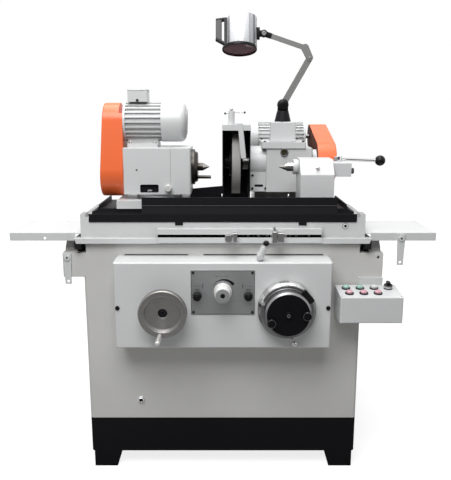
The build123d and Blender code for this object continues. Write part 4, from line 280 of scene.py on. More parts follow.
# axles for turned finishes, places in metres
quarter = math.pi / 2
alongX, alongY = (0.0, quarter, 0.0), (quarter, 0.0, 0.0)
workAxle, wheelAxle = ((0.0, -0.22, 1.097), alongX), ((0.0, 0.0, 1.097), alongX)
tableAxle, feedAxle = ((-0.196, 0.0, 0.651), alongY), ((0.212, 0.0, 0.651), alongY)
lampLean = math.radians(16.0)
lampAxle = ((0.072, -0.013, 1.5798), (-lampLean, 0.0, 0.0))
# lamp shade bands: painted reflections, bright and dark streaks round the shade
lampReflectionBands = ((0.0, 0.45), (0.09, 0.5), (0.1, 0.95), (0.195, 0.95), (0.202, 0.55), (0.21, 0.95), (0.25, 0.95),
              (0.262, 0.74), (0.315, 0.72), (0.328, 0.32), (0.343, 0.52), (0.372, 0.48), (0.385, 0.12), (0.403, 0.14),
              (0.415, 0.65), (0.5, 0.5), (0.62, 0.9), (0.75, 0.4), (0.86, 0.85), (1.0, 0.45))
# crossfeed dial bands: painted highlights and painted shade round the dial
dialLightShadeBands = ((0.0, 0.55), (0.03, 0.16), (0.06, 0.18), (0.08, 0.4), (0.25, 0.26), (0.45, 0.32), (0.52, 0.5),
             (0.66, 0.6), (0.69, 0.95), (0.735, 0.95), (0.745, 0.42), (0.79, 0.42), (0.8, 0.95), (0.86, 0.9),
             (0.87, 0.5), (0.9, 0.55), (0.91, 0.95), (0.952, 0.9), (0.957, 0.05), (0.97, 0.05), (0.976, 0.35),
             (1.0, 0.55))

paint("castWhite", (0.7, 0.708, 0.712), rough=0.36, coat=0.1)
# base paint a little darker and warmer than the white castings: its own paint together with painted shade for light
# falling off toward the floor
paint("baseGreyAndShade", (0.66, 0.655, 0.64), rough=0.45, peel=330.0, grimeShade=0.45)
paint("blackPaint", (0.0105, 0.01, 0.0125), rough=0.5, peel=600.0, wear=0.25, bare=(0.05, 0.05, 0.05), grimeShade=0.1,
      shine=0.12)
paint("plinthBlack", (0.0085, 0.008, 0.0095), rough=0.6, peel=900.0, relief=0.35, wear=0.3,
      bare=(0.05, 0.05, 0.048), grimeShade=0.15, shine=0.08)
paint("orangePaint", (0.93, 0.165, 0.045), rough=0.34, coat=0.08, soilShade=(0.25, 0.05, 0.02))
# dark brown for the wheel belt guard's left side: painted shade on the orange guard
paint("guardShadeBrown", (0.11, 0.036, 0.022), rough=0.6, grimeShade=0.5, shine=0.2)
metal("panelSilver", (0.42, 0.425, 0.43), rough=0.5, stretch=(60.0, 60.0, 2600.0), grimeShade=0.2, drift=0.9)
metal("tableIron", (0.5, 0.5, 0.5), rough=0.3, stretch=(18.0, 1300.0, 1300.0))
paint("tableFront", (0.72, 0.727, 0.73), rough=0.34, grimeShade=0.4, coat=0.15)
metal("bareSteel", (0.62, 0.615, 0.61), rough=0.32)
metal("darkSteel", (0.08, 0.074, 0.068), rough=0.34, axle=workAxle)
metal("spindleSteel", (0.6, 0.59, 0.57), rough=0.2, axle=workAxle)
metal("wheelSteel", (0.3, 0.295, 0.29), rough=0.32, axle=wheelAxle)
metal("handwheelSteel", (0.36, 0.352, 0.34), rough=0.4, relief=0.3, grimeShade=0.15, axle=tableAxle)
# dial steel with painted highlights and painted shade in bands
reflectionStreaked("dialSteel", (0.8, 0.8, 0.8), dialLightShadeBands, feedAxle, 0.3, 0.8)
metal("feedRim", (0.3, 0.3, 0.305), rough=0.34, grimeShade=0.2, axle=feedAxle)
moulded("feedBlack", (0.0055, 0.0052, 0.0065), rough=0.5, grain=700.0, scuff=0.1, shine=0.1)
metal("chrome", (0.82, 0.82, 0.83), rough=0.16, relief=0.03, drift=0.93, grimeShade=0.1)
metal("brightSteel", (0.9, 0.895, 0.885), rough=0.42, relief=0.05, drift=0.9, grimeShade=0.1)
# lamp shade: painted reflection streaks over a pale tint
reflectionStreaked("lampShade", (0.95, 0.965, 1.0), lampReflectionBands, lampAxle, 0.3, 0.15)
paint("armGrey", (0.24, 0.238, 0.235), rough=0.4, grimeShade=0.2, coat=0.1)
moulded("blackPlastic", (0.008, 0.008, 0.009), rough=0.34, scuff=0.12, shine=0.2)
moulded("greyPlastic", (0.1, 0.1, 0.102), rough=0.5, scuff=0.1, shine=0.3)
moulded("knobGrey", (0.3, 0.305, 0.305), rough=0.4)
moulded("whitePlastic", (0.76, 0.76, 0.75), rough=0.28)
# green and red caps paled toward white: their own colour with painted glare from the top light
moulded("greenPlasticGlare", (0.38, 0.66, 0.56), rough=0.12, coat=1.0, shine=1.0)
moulded("redPlasticGlare", (0.82, 0.42, 0.5), rough=0.12, coat=1.0, shine=1.0)
moulded("rubber", (0.01, 0.01, 0.01), rough=0.7, relief=0.2, shine=0.2)
grit("abrasive", (0.56, 0.55, 0.535), (0.3, 0.292, 0.28))
glass("lensGlass", (0.14, 0.04, 0.055), 0.06, 0.25)
glass("sightGlass", (0.06, 0.05, 0.03), 0.03, 0.3)
moulded("redLamp", (0.2, 0.014, 0.024), rough=0.2, coat=0.4)
moulded("blotter", (0.1, 0.095, 0.085), rough=0.8, grain=500.0, relief=0.3, shine=0.1)
print("finishes:", len(finishes))


# finishes for a CAD node; pick gives each face its number from its centre in mm and its normal
def dress(names, *given, pick=None):
    for name in names.split():
        mesh = nodes[name].data
        mesh.materials.clear()
        for finish in given:
            mesh.materials.append(finishes[finish])
        count = len(mesh.polygons)
        which = np.zeros(count, np.int32)
        if pick:
            centre, normal = np.empty(count * 3), np.empty(count * 3)
            mesh.polygons.foreach_get("center", centre)
            mesh.polygons.foreach_get("normal", normal)
            which[:] = pick(centre.reshape(-1, 3) * 1000.0, normal.reshape(-1, 3))
        mesh.polygons.foreach_set("material_index", which)


def near(centres, point, reach):
    return np.linalg.norm(centres - np.array(point), axis=1) < reach


def within(centres, low, high):
    return np.all((centres > np.array(low)) & (centres < np.array(high)), axis=1)


# control box: its sloping top rises from a low front edge
boxTop = {"edgeY": -510.0, "edgeZ": 694.0, "tilt": math.atan2(9.0, 120.0)}


def aboveBox(centres):
    up, back = centres[:, 2] - boxTop["edgeZ"], centres[:, 1] - boxTop["edgeY"]
    return up * math.cos(boxTop["tilt"]) - back * math.sin(boxTop["tilt"])


# wheel hood: white outside, black inside, on the skirt and on the splash sheet
hood = {"right": 102.6, "skirtTop": 968.0, "front": -116.4, "top": 1243.0, "left": (-3.4, -2.6), "leftLow": 1004.0,
        "back": (-2.9, 20.0)}


def guardSkin(centre, normal):
    x, y, z = centre.T
    low, high = hood["left"]
    outer = ((x > hood["right"]) & (z > hood["skirtTop"])) | (y < hood["front"]) | (z > hood["top"])
    outer |= (x > low) & (x < high) & (normal[:, 0] < -0.5) & (z > hood["leftLow"])
    outer |= (x > hood["back"][0]) & (y > hood["back"][1]) & (normal[:, 1] > 0.2)
    return ~outer


# lower table: the slot of the front rail is black inside as painted shade, and the top is bare iron; ledge and rail
# stay painted
rail = {"slotLow": (-222.0, -404.8, 868.6), "slotHigh": (336.0, -388.6, 889.4), "aboveLedge": 930.0}


def tableSkin(centre, normal):
    # black inside the slot: painted shade in the recess
    slot = within(centre, rail["slotLow"], rail["slotHigh"]) & (np.abs(normal[:, 0]) < 0.5)
    return np.where(slot, 1, np.where((normal[:, 2] > 0.7) & (centre[:, 2] > rail["aboveLedge"]), 2, 0))


# crossfeed wheel: black face and bosses, steel bevel and rim, dial steel behind
feedWheel = {"x": 212.0, "z": 651.0, "bevel": 70.4, "backY": -526.8, "bossY": -567.2}


def feedSkin(centre, normal):
    x, y, z = centre.T
    steel = np.hypot(x - feedWheel["x"], z - feedWheel["z"]) > feedWheel["bevel"]
    boss = (normal[:, 1] < -0.9) | (y < feedWheel["bossY"])
    return np.where(y > feedWheel["backY"], 1, np.where(steel & ~boss, 2, 0))


dress("base_casting rear_cover", "baseGreyAndShade")
dress("plinth", "plinthBlack")
dress("apron_box workhead_base workhead_motor wheelhead_housing wheel_motor", "castWhite")
dress("switch_box coolant_nozzle tailstock_body way_covers brace_left brace_right", "castWhite")
dress("workhead_housing", "castWhite", "blackPaint",
      pick=lambda c, n: within(c, (-290.0, -309.9, 1014.0), (-224.0, -250.0, 1044.0)))  # inside its window
dress("wheel_slide", "castWhite", "tableIron", pick=lambda c, n: c[:, 2] < 960.0)  # all but its top
dress("apron_panel", "panelSilver")
dress("pendant_box", "castWhite", "blackPlastic",
      pick=lambda c, n: (aboveBox(c) > 0.3) & (c[:, 1] < -392.0))  # button collars
dress("lower_table", "tableFront", "blackPaint", "tableIron", pick=tableSkin)
dress("upper_table", "blackPaint", "castWhite",
      pick=lambda c, n: (np.abs(n[:, 0]) > 0.9) & (np.abs(c[:, 0]) > 457.0))  # both ends
dress("coolant_tray splash_plate lamp_base", "blackPaint")
dress("way_wipers", "rubber", "tableFront", pick=lambda c, n: c[:, 2] > 852.0)  # painted above the lip
dress("workhead_belt_guard", "orangePaint")
# the guard's left-facing side is dark brown: painted shade
dress("wheel_belt_guard", "orangePaint", "guardShadeBrown", pick=lambda c, n: n[:, 0] < -0.5)  # inner side
dress("workhead_belt wheel_belt", "rubber")
dress("wheel_guard", "castWhite", "blackPaint", pick=guardSkin)
dress("grinding_wheel", "abrasive")
# steel flanges inside the hood are made black: painted shade of the hood
dress("wheel_spindle", "wheelSteel", "blackPaint", pick=lambda c, n: c[:, 0] < 103.0)  # flanges in the hood
dress("wheel_rotor", "wheelSteel")
dress("work_spindle workhead_rotor", "darkSteel")
dress("work_centre", "darkSteel", "spindleSteel", pick=lambda c, n: c[:, 0] > -74.0)  # ground point
dress("tailstock_quill tailstock_centre", "spindleSteel")
dress("tailstock_lever", "chrome", "blackPlastic",
      pick=lambda c, n: near(c, (573.4, -193.0, 1117.2), 19.6))  # ball
dress("reversing_lever", "castWhite", "blackPlastic",
      pick=lambda c, n: near(c, (143.5, -466.4, 867.0), 10.6))  # knob
dress("table_dog_left table_dog_right feed_screw", "bareSteel")
dress("crossfeed_dial", "dialSteel")
dress("crossfeed_handwheel", "feedBlack", "dialSteel", "feedRim", pick=feedSkin)
dress("workhead_lock_knob white_button", "whitePlastic")
dress("green_button_left green_button_right", "greenPlasticGlare")
dress("red_button_left red_button_middle red_button_right", "redPlasticGlare")
dress("selector_knob", "blackPlastic", "whitePlastic",
      pick=lambda c, n: np.abs(aboveBox(c) - 6.8) < 2.6)  # white collar
dress("lamp_lower_arm lamp_upper_arm", "armGrey")
print("nodes dressed")


# surfaces, all worked out in millimetres
def axisFrame(axis, turn=0.0):
    w = np.array(axis, float) / np.linalg.norm(axis)
    u = np.cross((0.0, 0.0, 1.0) if abs(w[2]) < 0.9 else (0.0, 1.0, 0.0), w)
    u = u / np.linalg.norm(u)
    v = np.cross(w, u)
    return u * math.cos(turn) + v * math.sin(turn), v * math.cos(turn) - u * math.sin(turn), w


# a grid of points (rows, columns) as four-sided faces; columns close up, rows only when looped
def skinned(points, loop=False):
    rows, columns = points.shape[:2]
    index = np.arange(rows * columns).reshape(rows, columns)
    here = index if loop else index[:-1]
    there = np.roll(index, -1, 0) if loop else index[1:]
    faces = np.stack((here, np.roll(here, -1, 1), np.roll(there, -1, 1), there), -1)
    return points.reshape(-1, 3), faces.reshape(-1, 4)


# turned form: centre + r (u cos a + v sin a) + h w for each profile row (r, h, hexagon share, ridge share);
# the hexagon's radius at a is r cos 30 / cos(a mod 60 - 30), and ridges add depth * cos(count a)
def spun(centre, axis, profile, steps, ridges=(0, 0.0), loop=False):
    u, v, w = axisFrame(axis)
    rows = np.array([tuple(row) + (0.0,) * (4 - len(row)) for row in profile])
    angle = np.linspace(0.0, 2.0 * np.pi, steps, endpoint=False)
    hexagon = np.cos(np.pi / 6) / np.cos(angle % (np.pi / 3) - np.pi / 6)
    radius = rows[:, :1] * (1.0 + rows[:, 2:3] * (hexagon - 1.0))
    radius = radius + rows[:, 3:] * ridges[1] * np.cos(ridges[0] * angle)
    around = u * np.cos(angle)[:, None] + v * np.sin(angle)[:, None]
    points = np.array(centre) + radius[..., None] * around + rows[:, 1, None, None] * w
    return skinned(points, loop)


# corners eased: each becomes (1-t)^2 a + 2t(1-t) corner + t^2 b between points cut back along its two sides
def filleted(points, radius, steps=5, closed=False):
    p = np.array(points, float)
    before, after = np.roll(p, 1, 0) - p, np.roll(p, -1, 0) - p
    lengthBefore = np.linalg.norm(before, axis=1, keepdims=True)
    lengthAfter = np.linalg.norm(after, axis=1, keepdims=True)
    cut = np.minimum(radius, 0.49 * np.minimum(lengthBefore, lengthAfter))
    a, b = p + before / lengthBefore * cut, p + after / lengthAfter * cut
    t = np.linspace(0.0, 1.0, steps)[None, :, None]
    curve = (1 - t) ** 2 * a[:, None] + 2 * t * (1 - t) * p[:, None] + t ** 2 * b[:, None]
    if closed:
        return curve.reshape(-1, p.shape[1])
    return np.concatenate((p[:1], curve[1:-1].reshape(-1, p.shape[1]), p[-1:]))


# circle: radius (cos a, sin a), in twelve steps
def roundSection(radius):
    angle = np.linspace(0.0, 2.0 * np.pi, 12, endpoint=False)
    return np.stack((np.cos(angle), np.sin(angle)), -1) * radius


def boxSection(width, height, corner=0.0):
    corners = np.array([(1, 1), (-1, 1), (-1, -1), (1, -1)]) * (width / 2, height / 2)
    return filleted(corners, corner, 4, True) if corner else corners


# section carried along a path in one plane: path + scale (x side + y flat), side = flat x tangent, ends drawn shut
def swept(path, section, flat, scale=None):
    path, flat = np.array(path, float), np.array(flat, float)
    side = np.cross(flat, np.gradient(path, axis=0))
    side = side / np.linalg.norm(side, axis=1, keepdims=True)
    size = np.ones(len(path)) if scale is None else np.array(scale)
    reach = section[None, :, :1] * side[:, None] + section[None, :, 1:] * flat
    rings = path[:, None] + size[:, None, None] * reach
    return skinned(np.concatenate((path[:1, None] + 0 * rings[:1], rings, path[-1:, None] + 0 * rings[-1:])))


# plate with round corners: loops (half size - corner) + (corner - inset) (cos a, sin a), raised along the axis,
# inset and rise following a quarter circle at the top edge
def slab(centre, axis, width, height, thick, corner, edge, turn=0.0):
    u, v, w = axisFrame(axis, turn)
    bend = np.linspace(0.0, np.pi / 2, 5)
    angle = (bend + np.arange(4)[:, None] * np.pi / 2).ravel()
    signs = np.repeat([(1, 1), (-1, 1), (-1, -1), (1, -1)], 5, axis=0)
    ease = np.linspace(0.0, np.pi / 2, 4)
    inset = np.concatenate(([0.0, 0.0], edge * (1 - np.cos(ease)), [edge]))
    rise = np.concatenate(([0.0, 0.0], thick - edge + edge * np.sin(ease), [thick]))
    keep = np.ones(len(inset))
    keep[[0, -1]] = 0.0
    middle = signs * (np.array((width, height)) / 2 - corner)
    loops = middle + (corner - inset)[:, None, None] * np.stack((np.cos(angle), np.sin(angle)), -1)
    loops = loops * keep[:, None, None]
    return skinned(np.array(centre) + loops[..., :1] * u + loops[..., 1:] * v + rise[:, None, None] * w)


# the same form at every place
def copied(form, places):
    shift = np.array(places, float)
    points = shift[:, None] + form[0]
    faces = form[1] + len(form[0]) * np.arange(len(shift))[:, None, None]
    return points.reshape(-1, 3), faces.reshape(-1, 4)


# places at the same distance to the left and to the right, at each height
def bothSides(x, y, heights):
    return [(side * x, y, z) for side in (-1, 1) for z in heights]


# centre + radius (cos a, sin a) in the plane that faces the front
def onCircle(centre, radius, degrees):
    turn = math.radians(degrees)
    return centre[0] + radius * math.cos(turn), centre[1], centre[2] + radius * math.sin(turn)


def capScrew(axis, radius, height):
    rows = [(0, 0), (radius, 0), (radius, 0.7 * height), (0.95 * radius, 0.92 * height), (0.84 * radius, height),
            (0.5 * radius, height, 1), (0.5 * radius, 0.4 * height, 1), (0, 0.4 * height)]
    return spun((0, 0, 0), axis, rows, 24)


def hexBolt(axis, radius, height):
    rows = [(0, 0), (1.3 * radius, 0), (1.3 * radius, 0.22 * height), (radius, 0.24 * height, 1),
            (radius, 0.86 * height, 1), (0.86 * radius, height, 0.5), (0, height)]
    return spun((0, 0, 0), axis, rows, 24)


# forms, each with its finish, become one object at the origin; doubles merged, faces turned outwards
def makePiece(name, forms, body, stands=()):
    used = list(dict.fromkeys(finish for _, finish in forms))
    points = np.concatenate([form[0] for form, _ in forms]) * 0.001
    starts = np.cumsum([0] + [len(form[0]) for form, _ in forms])
    faces = np.concatenate([form[1] + start for (form, _), start in zip(forms, starts)])
    which = np.concatenate([np.full(len(form[1]), used.index(finish), np.int32) for form, finish in forms])
    mesh = bpy.data.meshes.new(name)
    mesh.vertices.add(len(points))
    mesh.vertices.foreach_set("co", points.ravel())
    mesh.loops.add(faces.size)
    mesh.loops.foreach_set("vertex_index", faces.ravel().astype(np.int32))
    mesh.polygons.add(len(faces))
    mesh.polygons.foreach_set("loop_start", np.arange(0, faces.size, 4, dtype=np.int32))
    for finish in used:
        mesh.materials.append(finishes[finish])
    mesh.polygons.foreach_set("material_index", which)
    mesh.update(calc_edges=True)
    work = bmesh.new()
    work.from_mesh(mesh)
    bmesh.ops.remove_doubles(work, verts=work.verts, dist=1e-6)
    bmesh.ops.dissolve_degenerate(work, edges=work.edges, dist=1e-7)
    bmesh.ops.recalc_face_normals(work, faces=work.faces)
    work.to_mesh(mesh)
    work.free()
    mesh.polygons.foreach_set("use_smooth", np.ones(len(mesh.polygons), bool))
    mesh.set_sharp_from_angle(angle=math.radians(32.0))  # faces that meet more steeply stay crisp
    piece = bpy.data.objects.new(name, mesh)
    scene.collection.objects.link(piece)
    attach(piece, body)
    if stands:
        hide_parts(*stands)


toFront, toRear, toLeft, toRight, toTop = (0, -1, 0), (0, 1, 0), (-1, 0, 0), (1, 0, 0), (0, 0, 1)


# screws, plugs and seal strips on the base, the strips also painting the shadow line along the apron's top back edge;
# panel, apron and cover are X to both sides, Y and heights
fasteners = {"panel": (98.0, -493.0, (774.0, 638.0)), "apron": (352.0, -490.0, (651.0,)),
             "cover": (240.0, 384.0, (275.0, 455.0, 635.0)), "drain": (-297.0, -380.0, 268.0),
             "plug": (242.0, -490.0, 524.0), "sealsAndShadow": ((-340.0, -120.0), (-67.0, 346.0)),
             "sealShadowPlace": (-382.0, 808.6)}


def baseFasteners(panel, apron, cover, drain, plug, sealsAndShadow, sealShadowPlace):
    drainRows = [(0, 0), (12.5, 0), (12.5, 3.5), (11.5, 4.5), (10.2, 4.5, 1), (10.2, 8.6, 1), (9.2, 9.4, 1),
                 (6.6, 9.4), (6.6, 8.8), (0, 8.8)]
    core = [(0, 8.4), (6.4, 8.4), (6.4, 9.2), (5.4, 9.6), (0, 9.6)]
    plugRows = [(0, 0), (9, 0), (9, 3), (8.4, 5), (6.6, 7.3), (3.6, 8.6), (0, 9)]
    # black strips along the apron's top back edge: a seal and painted shadow of the gap
    sealShadowStrips = [swept([(a, *sealShadowPlace), (b, *sealShadowPlace)], boxSection(3.0, 3.0, 0.6), toTop) for a, b in sealsAndShadow]
    return [(copied(capScrew(toFront, 4.6, 3.2), bothSides(*panel)), "darkSteel"),
            (copied(capScrew(toFront, 7.4, 4.0), bothSides(*apron)), "blackPaint"),
            *((sealShadowStrip, "rubber") for sealShadowStrip in sealShadowStrips),
            (copied(hexBolt(toRear, 3.8, 4.0), bothSides(*cover)), "bareSteel"),
            (spun(drain, toFront, drainRows, 36), "chrome"), (spun(drain, toFront, core, 24), "blackPaint"),
            (spun(plug, toFront, plugRows, 28), "chrome")]


makePiece("baseFasteners", baseFasteners(**fasteners), "base", ("base_screws",))


# marks printed flat on the speed panel: a border that is partly print and partly painted shade of the panel's edge, a
# wedge round the big knob, arrows, stop bars
panelMarks = {"y": -493.06, "border": (104.6, 631.4, 780.6), "wedge": (37.5, 152.0, 33.0), "knob": 710.0,
              "arrow": (760.5, -25.0, 17.0), "stop": (728.0, 66.0, 98.0), "hint": (716.0, 77.0, 93.0)}


# a mark is a thin box carried along its line; width 0.8 + 9 t^1.4 makes the wedge, steps of width make arrow heads
def marks(y, border, wedge, knob, arrow, stop, hint):
    def mark(points, wide, finish, scale=None):
        path = np.insert(np.array(points, float), 1, y, axis=1)
        return swept(path, boxSection(wide, 0.3), toFront, scale), finish

    def level(start, end, height, steps):
        return np.stack((np.linspace(start, end, steps), np.full(steps, height)), -1)

    half, low, high = border
    corners = [(-half, low), (half, low), (half, high), (-half, high)]
    # border: dark line on the panel's edge, part print, part painted shade
    forms = [mark(side, 1.5, "greyPlastic") for side in zip(corners, corners[1:] + corners[:1])]
    inner, start, end = wedge
    t = np.linspace(0.0, 1.0, 30)
    angle, wide = np.radians(start + (end - start) * t), 0.8 + 9.0 * t ** 1.4
    reach = inner + wide / 2
    arc = np.stack((reach * np.cos(angle), knob + reach * np.sin(angle)), -1)
    forms.append(mark(arc, 1.0, "blackPlastic", wide))
    height, left, right = arrow
    heads = np.interp(np.arange(25), (0, 3.9, 4, 20, 20.1, 24), (0.1, 4.4, 0.8, 0.8, 4.4, 0.1))
    forms.append(mark(level(left, right, height, 25), 1.0, "greyPlastic", heads))
    point = np.interp(np.arange(9), (0, 2.9, 3, 8), (0.1, 4.0, 1.2, 1.2))
    for side in (-1, 1):
        height, inner, outer = stop
        forms.append(mark([(side * inner, height - 8), (side * inner, height + 8)], 2.6, "greyPlastic"))
        forms.append(mark(level(side * inner, side * outer, height, 2), 0.9, "greyPlastic"))
        height, inner, outer = hint
        forms.append(mark(level(side * inner, side * outer, height, 9), 1.0, "blackPlastic", point))
    return forms


makePiece("panelMarks", marks(**panelMarks), "base")


# knobs on the panel
throttle = {"centre": (0.0, 0.0, 710.0), "foot": 493.4, "skirt": 30.0, "body": 26.5, "tip": 24.5, "front": 549.4}


def throttleKnob(centre, foot, skirt, body, tip, front):
    rows = [(0, foot), (skirt - 1, foot), (skirt, foot + 1), (skirt, foot + 16), (skirt - 1.2, foot + 18),
            (body, foot + 19), (tip, front - 2.5), (tip - 0.8, front - 0.9), (tip - 2, front - 1.2),
            (tip - 2, front - 3), (0, front - 3)]
    face = [(0, front - 3.2), (tip - 1.6, front - 3.2), (tip - 1.8, front - 0.4), (tip - 3.5, front), (9, front),
            (8, front - 0.8), (7.6, front - 2.6), (0, front - 2.6)]
    hole = [(0, front - 2.8), (7.5, front - 2.8), (7.5, front - 1.2), (6.2, front - 1.6), (0, front - 2)]
    return [(spun(centre, toFront, rows, 96), "whitePlastic"), (spun(centre, toFront, face, 72), "knobGrey"),
            (spun(centre, toFront, hole, 32), "blackPlastic")]


makePiece("throttleKnob", throttleKnob(**throttle), "throttle", ("throttle_knob",))

dwell = {"x": 85.0, "z": 694.0, "foot": 493.4, "front": 513.4, "radius": 15.0, "flutes": 18}


def dwellKnob(side, x, z, foot, front, radius, flutes):
    rows = [(0, foot), (radius - 0.6, foot), (radius, foot + 0.8), (radius, foot + 4), (radius - 1.4, foot + 5, 0, 1),
            (radius - 1.8, front - 2.5, 0, 1), (radius - 3, front - 0.7, 0, 0.3), (radius - 4.6, front),
            (5, front - 0.8), (0, front - 1)]
    pointer = slab((side * x, 0.9 - front, z + 6.0), toFront, 1.3, 7.0, 0.7, 0.5, 0.2)
    return [(spun((side * x, 0.0, z), toFront, rows, 144, (flutes, 0.6)), "blackPlastic"), (pointer, "greyPlastic")]


makePiece("dwellKnobLeft", dwellKnob(-1, **dwell), "dwell_left", ("dwell_knob_left",))
makePiece("dwellKnobRight", dwellKnob(1, **dwell), "dwell_right", ("dwell_knob_right",))


# table handwheel: a turned dish with a round rim and a loose grip
tableWheel = {"centre": (-196.0, 0.0, 651.0), "hub": 24.0, "hubBack": 490.4, "back": 534.0, "front": 560.0,
              "rim": 80.0, "inner": 60.0, "gripAngle": 263.0, "gripCircle": 70.0, "end": 640.0}


def handwheel(centre, hub, hubBack, back, front, rim, inner, gripAngle, gripCircle, end):
    floor = front - 14.6
    rows = [(0, hubBack), (hub - 1.5, hubBack), (hub, hubBack + 1.5), (hub, back - 5), (hub + 1.6, back - 1.6),
            (hub + 5, back), (rim - 9, back)]
    rows += filleted([(rim - 9, back), (rim, back), (rim, front), (inner + 2.5, front)], 6.0, 6).tolist()
    rows += [(inner + 1.8, front - 0.6), (inner - 3.2, front - 12.6), (inner - 4.6, front - 13.8),
             (inner - 8, front - 14.2), (42, floor), (16.5, floor), (15.6, floor - 0.8), (15.6, front - 24),
             (0, front - 24)]
    wall = [(inner + 2.8, front - 0.6), (inner + 1.6, front - 0.3), (inner - 3.6, front - 12.4), (inner - 3.4, floor),
            (inner - 1, floor)]
    screw = [(0, front - 24), (15.4, front - 24), (15.4, front - 18), (9.6, front - 18), (8.4, front - 17),
             (4.6, front - 17, 1), (4.6, front - 21, 1), (0, front - 21)]
    grip = [(0, front - 1), (4.8, front - 1), (4.8, front + 4), (6.6, front + 5), (7.4, front + 8), (6.9, front + 24),
            (7.4, front + 44), (8, end - 12), (7.8, end - 6), (6.2, end - 1.8), (3.5, end - 0.3), (0, end)]
    return [(spun(centre, toFront, rows, 120), "handwheelSteel"),
            (spun(centre, toFront, wall, 120, loop=True), "bareSteel"),
            (spun(centre, toFront, screw, 30), "blackPaint"),
            (spun(onCircle(centre, gripCircle, gripAngle), toFront, grip, 28), "brightSteel")]


makePiece("tableHandwheel", handwheel(**tableWheel), "table_wheel", ("table_handwheel",))


# crossfeed dial: two rings on its face with a clamp, rings on the wheel's cap and finger knobs
dial = {"centre": (212.0, 0.0, 651.0), "face": 527.0, "clampAngle": 39.0, "clampCircle": 84.0,
        "knobAngles": (0.0, 204.0), "knobCircle": 60.0}


def dialRings(centre, face, clampAngle, clampCircle, knobAngles, knobCircle):
    chromeRing = [(76.5, face - 0.5), (80.5, face - 0.5), (80.2, face + 4.5), (79.2, face + 5.4), (77.4, face + 5.4),
                  (76.5, face + 4.6)]
    darkRing = [(81, face - 0.5), (88.6, face - 0.5), (88.4, face + 0.6), (87.6, face + 1.2), (81.6, face + 1.2),
                (81, face + 0.6)]
    x, _, z = onCircle(centre, clampCircle, clampAngle)
    clamp = slab((x, 0.5 - face, z), toFront, 20.0, 50.0, 12.0, 5.0, 2.0, math.radians(clampAngle))
    cap = [(0, 566), (12.6, 566), (12.6, 571.5), (11.4, 573), (9, 573.2), (8.2, 572.2), (0, 572.2)]
    eye = [(3.4, 571.8), (5.6, 571.8), (5.6, 573), (5.1, 573.6), (3.9, 573.6), (3.4, 573)]
    edge = [(12.6, 579.6), (14.1, 579.6), (14.1, 580.4), (13.6, 581.1), (12.9, 581.1), (12.6, 580.6)]
    knobs = [onCircle(centre, knobCircle, angle) for angle in knobAngles]
    return [(spun(centre, toFront, chromeRing, 120, loop=True), "feedRim"),
            (spun(centre, toFront, darkRing, 120, loop=True), "feedRim"), (clamp, "blackPlastic"),
            (spun(centre, toFront, cap, 40), "feedBlack"), (spun(centre, toFront, eye, 28, loop=True), "feedRim"),
            *((spun(knob, toFront, edge, 40, loop=True), "feedRim") for knob in knobs)]


# a line each hundredth of a turn on the dial's cone, longer at each fifth and tenth
dialScale = {"centre": dial["centre"], "cone": ((96.0, 519.0), (90.0, 527.0)), "lines": 100, "wide": 0.8}


# each line is a strip on the cone: (r + n o) (u cos a + v sin a) + (h + n p) w plus half its width along the tangent
def dialLines(centre, cone, lines, wide):
    u, v, w = axisFrame(toFront)
    (radiusA, heightA), (radiusB, heightB) = cone
    count = np.arange(lines)
    angle = 2 * np.pi * count / lines
    reach = np.where(count % 10 == 0, 0.95, np.where(count % 5 == 0, 0.72, 0.5))
    along = np.stack((0.04 + 0 * reach, 0.04 + 0 * reach, reach, reach), 1)
    half = np.array((-0.5, 0.5, 0.5, -0.5)) * wide
    lift = np.array((-0.15, 0.12))
    slope = np.hypot(radiusB - radiusA, heightB - heightA)
    outward = np.array(((heightB - heightA) / slope, (radiusA - radiusB) / slope))
    radius = radiusA + (radiusB - radiusA) * along[:, None] + lift[:, None] * outward[0]
    height = heightA + (heightB - heightA) * along[:, None] + lift[:, None] * outward[1]
    radial = (u * np.cos(angle)[:, None] + v * np.sin(angle)[:, None])[:, None, None]
    tangent = (v * np.cos(angle)[:, None] - u * np.sin(angle)[:, None])[:, None, None]
    points = np.array(centre) + radius[..., None] * radial + height[..., None] * w + half[:, None] * tangent
    base = np.array([(0, 1, 2, 3), (4, 5, 6, 7), (0, 1, 5, 4), (1, 2, 6, 5), (2, 3, 7, 6), (3, 0, 4, 7)])
    faces = base + 8 * count[:, None, None]
    return [((points.reshape(-1, 3), faces.reshape(-1, 4)), "blackPaint")]


makePiece("dialRings", dialRings(**dial), "feed_wheel")
makePiece("dialLines", dialLines(**dialScale), "feed_wheel")


# control box: two small screws at the front of its sloping top
panelScrews = {"x": (394.5, 591.5), "run": 9.0, "radius": 2.6}


def pendantScrews(x, run, radius):
    up, back = math.sin(boxTop["tilt"]), math.cos(boxTop["tilt"])
    places = [(each, boxTop["edgeY"] + run * back, boxTop["edgeZ"] + run * up) for each in x]
    return [(copied(capScrew((0.0, -up, back), radius, 1.8), places), "bareSteel")]


makePiece("pendantScrews", pendantScrews(**panelScrews), "base")


# table: end plug, glints in the rail's slot, a grey line along the fold of the splash plate as painted highlight, its
# hooks, cover rivets
tableTrim = {"plug": (420.0, -380.0, 909.0), "slotPlace": (-389.0, 877.0), "slotSize": (9.0, 14.0),
             "slotX": (87.0, 122.0, 152.0, 230.0, 251.0, 295.0), "foldX": (-276.0, 389.0),
             "foldPlace": (-383.1, 980.0), "hooks": (-3.0, 222.0), "hookRod": 2.2, "hookPlace": (0.0, -377.0, 1007.0),
             "rivetX": (515.0, 585.0, 655.0, 722.0), "rivetY": (-362.0, -160.0), "rivetZ": 885.0}


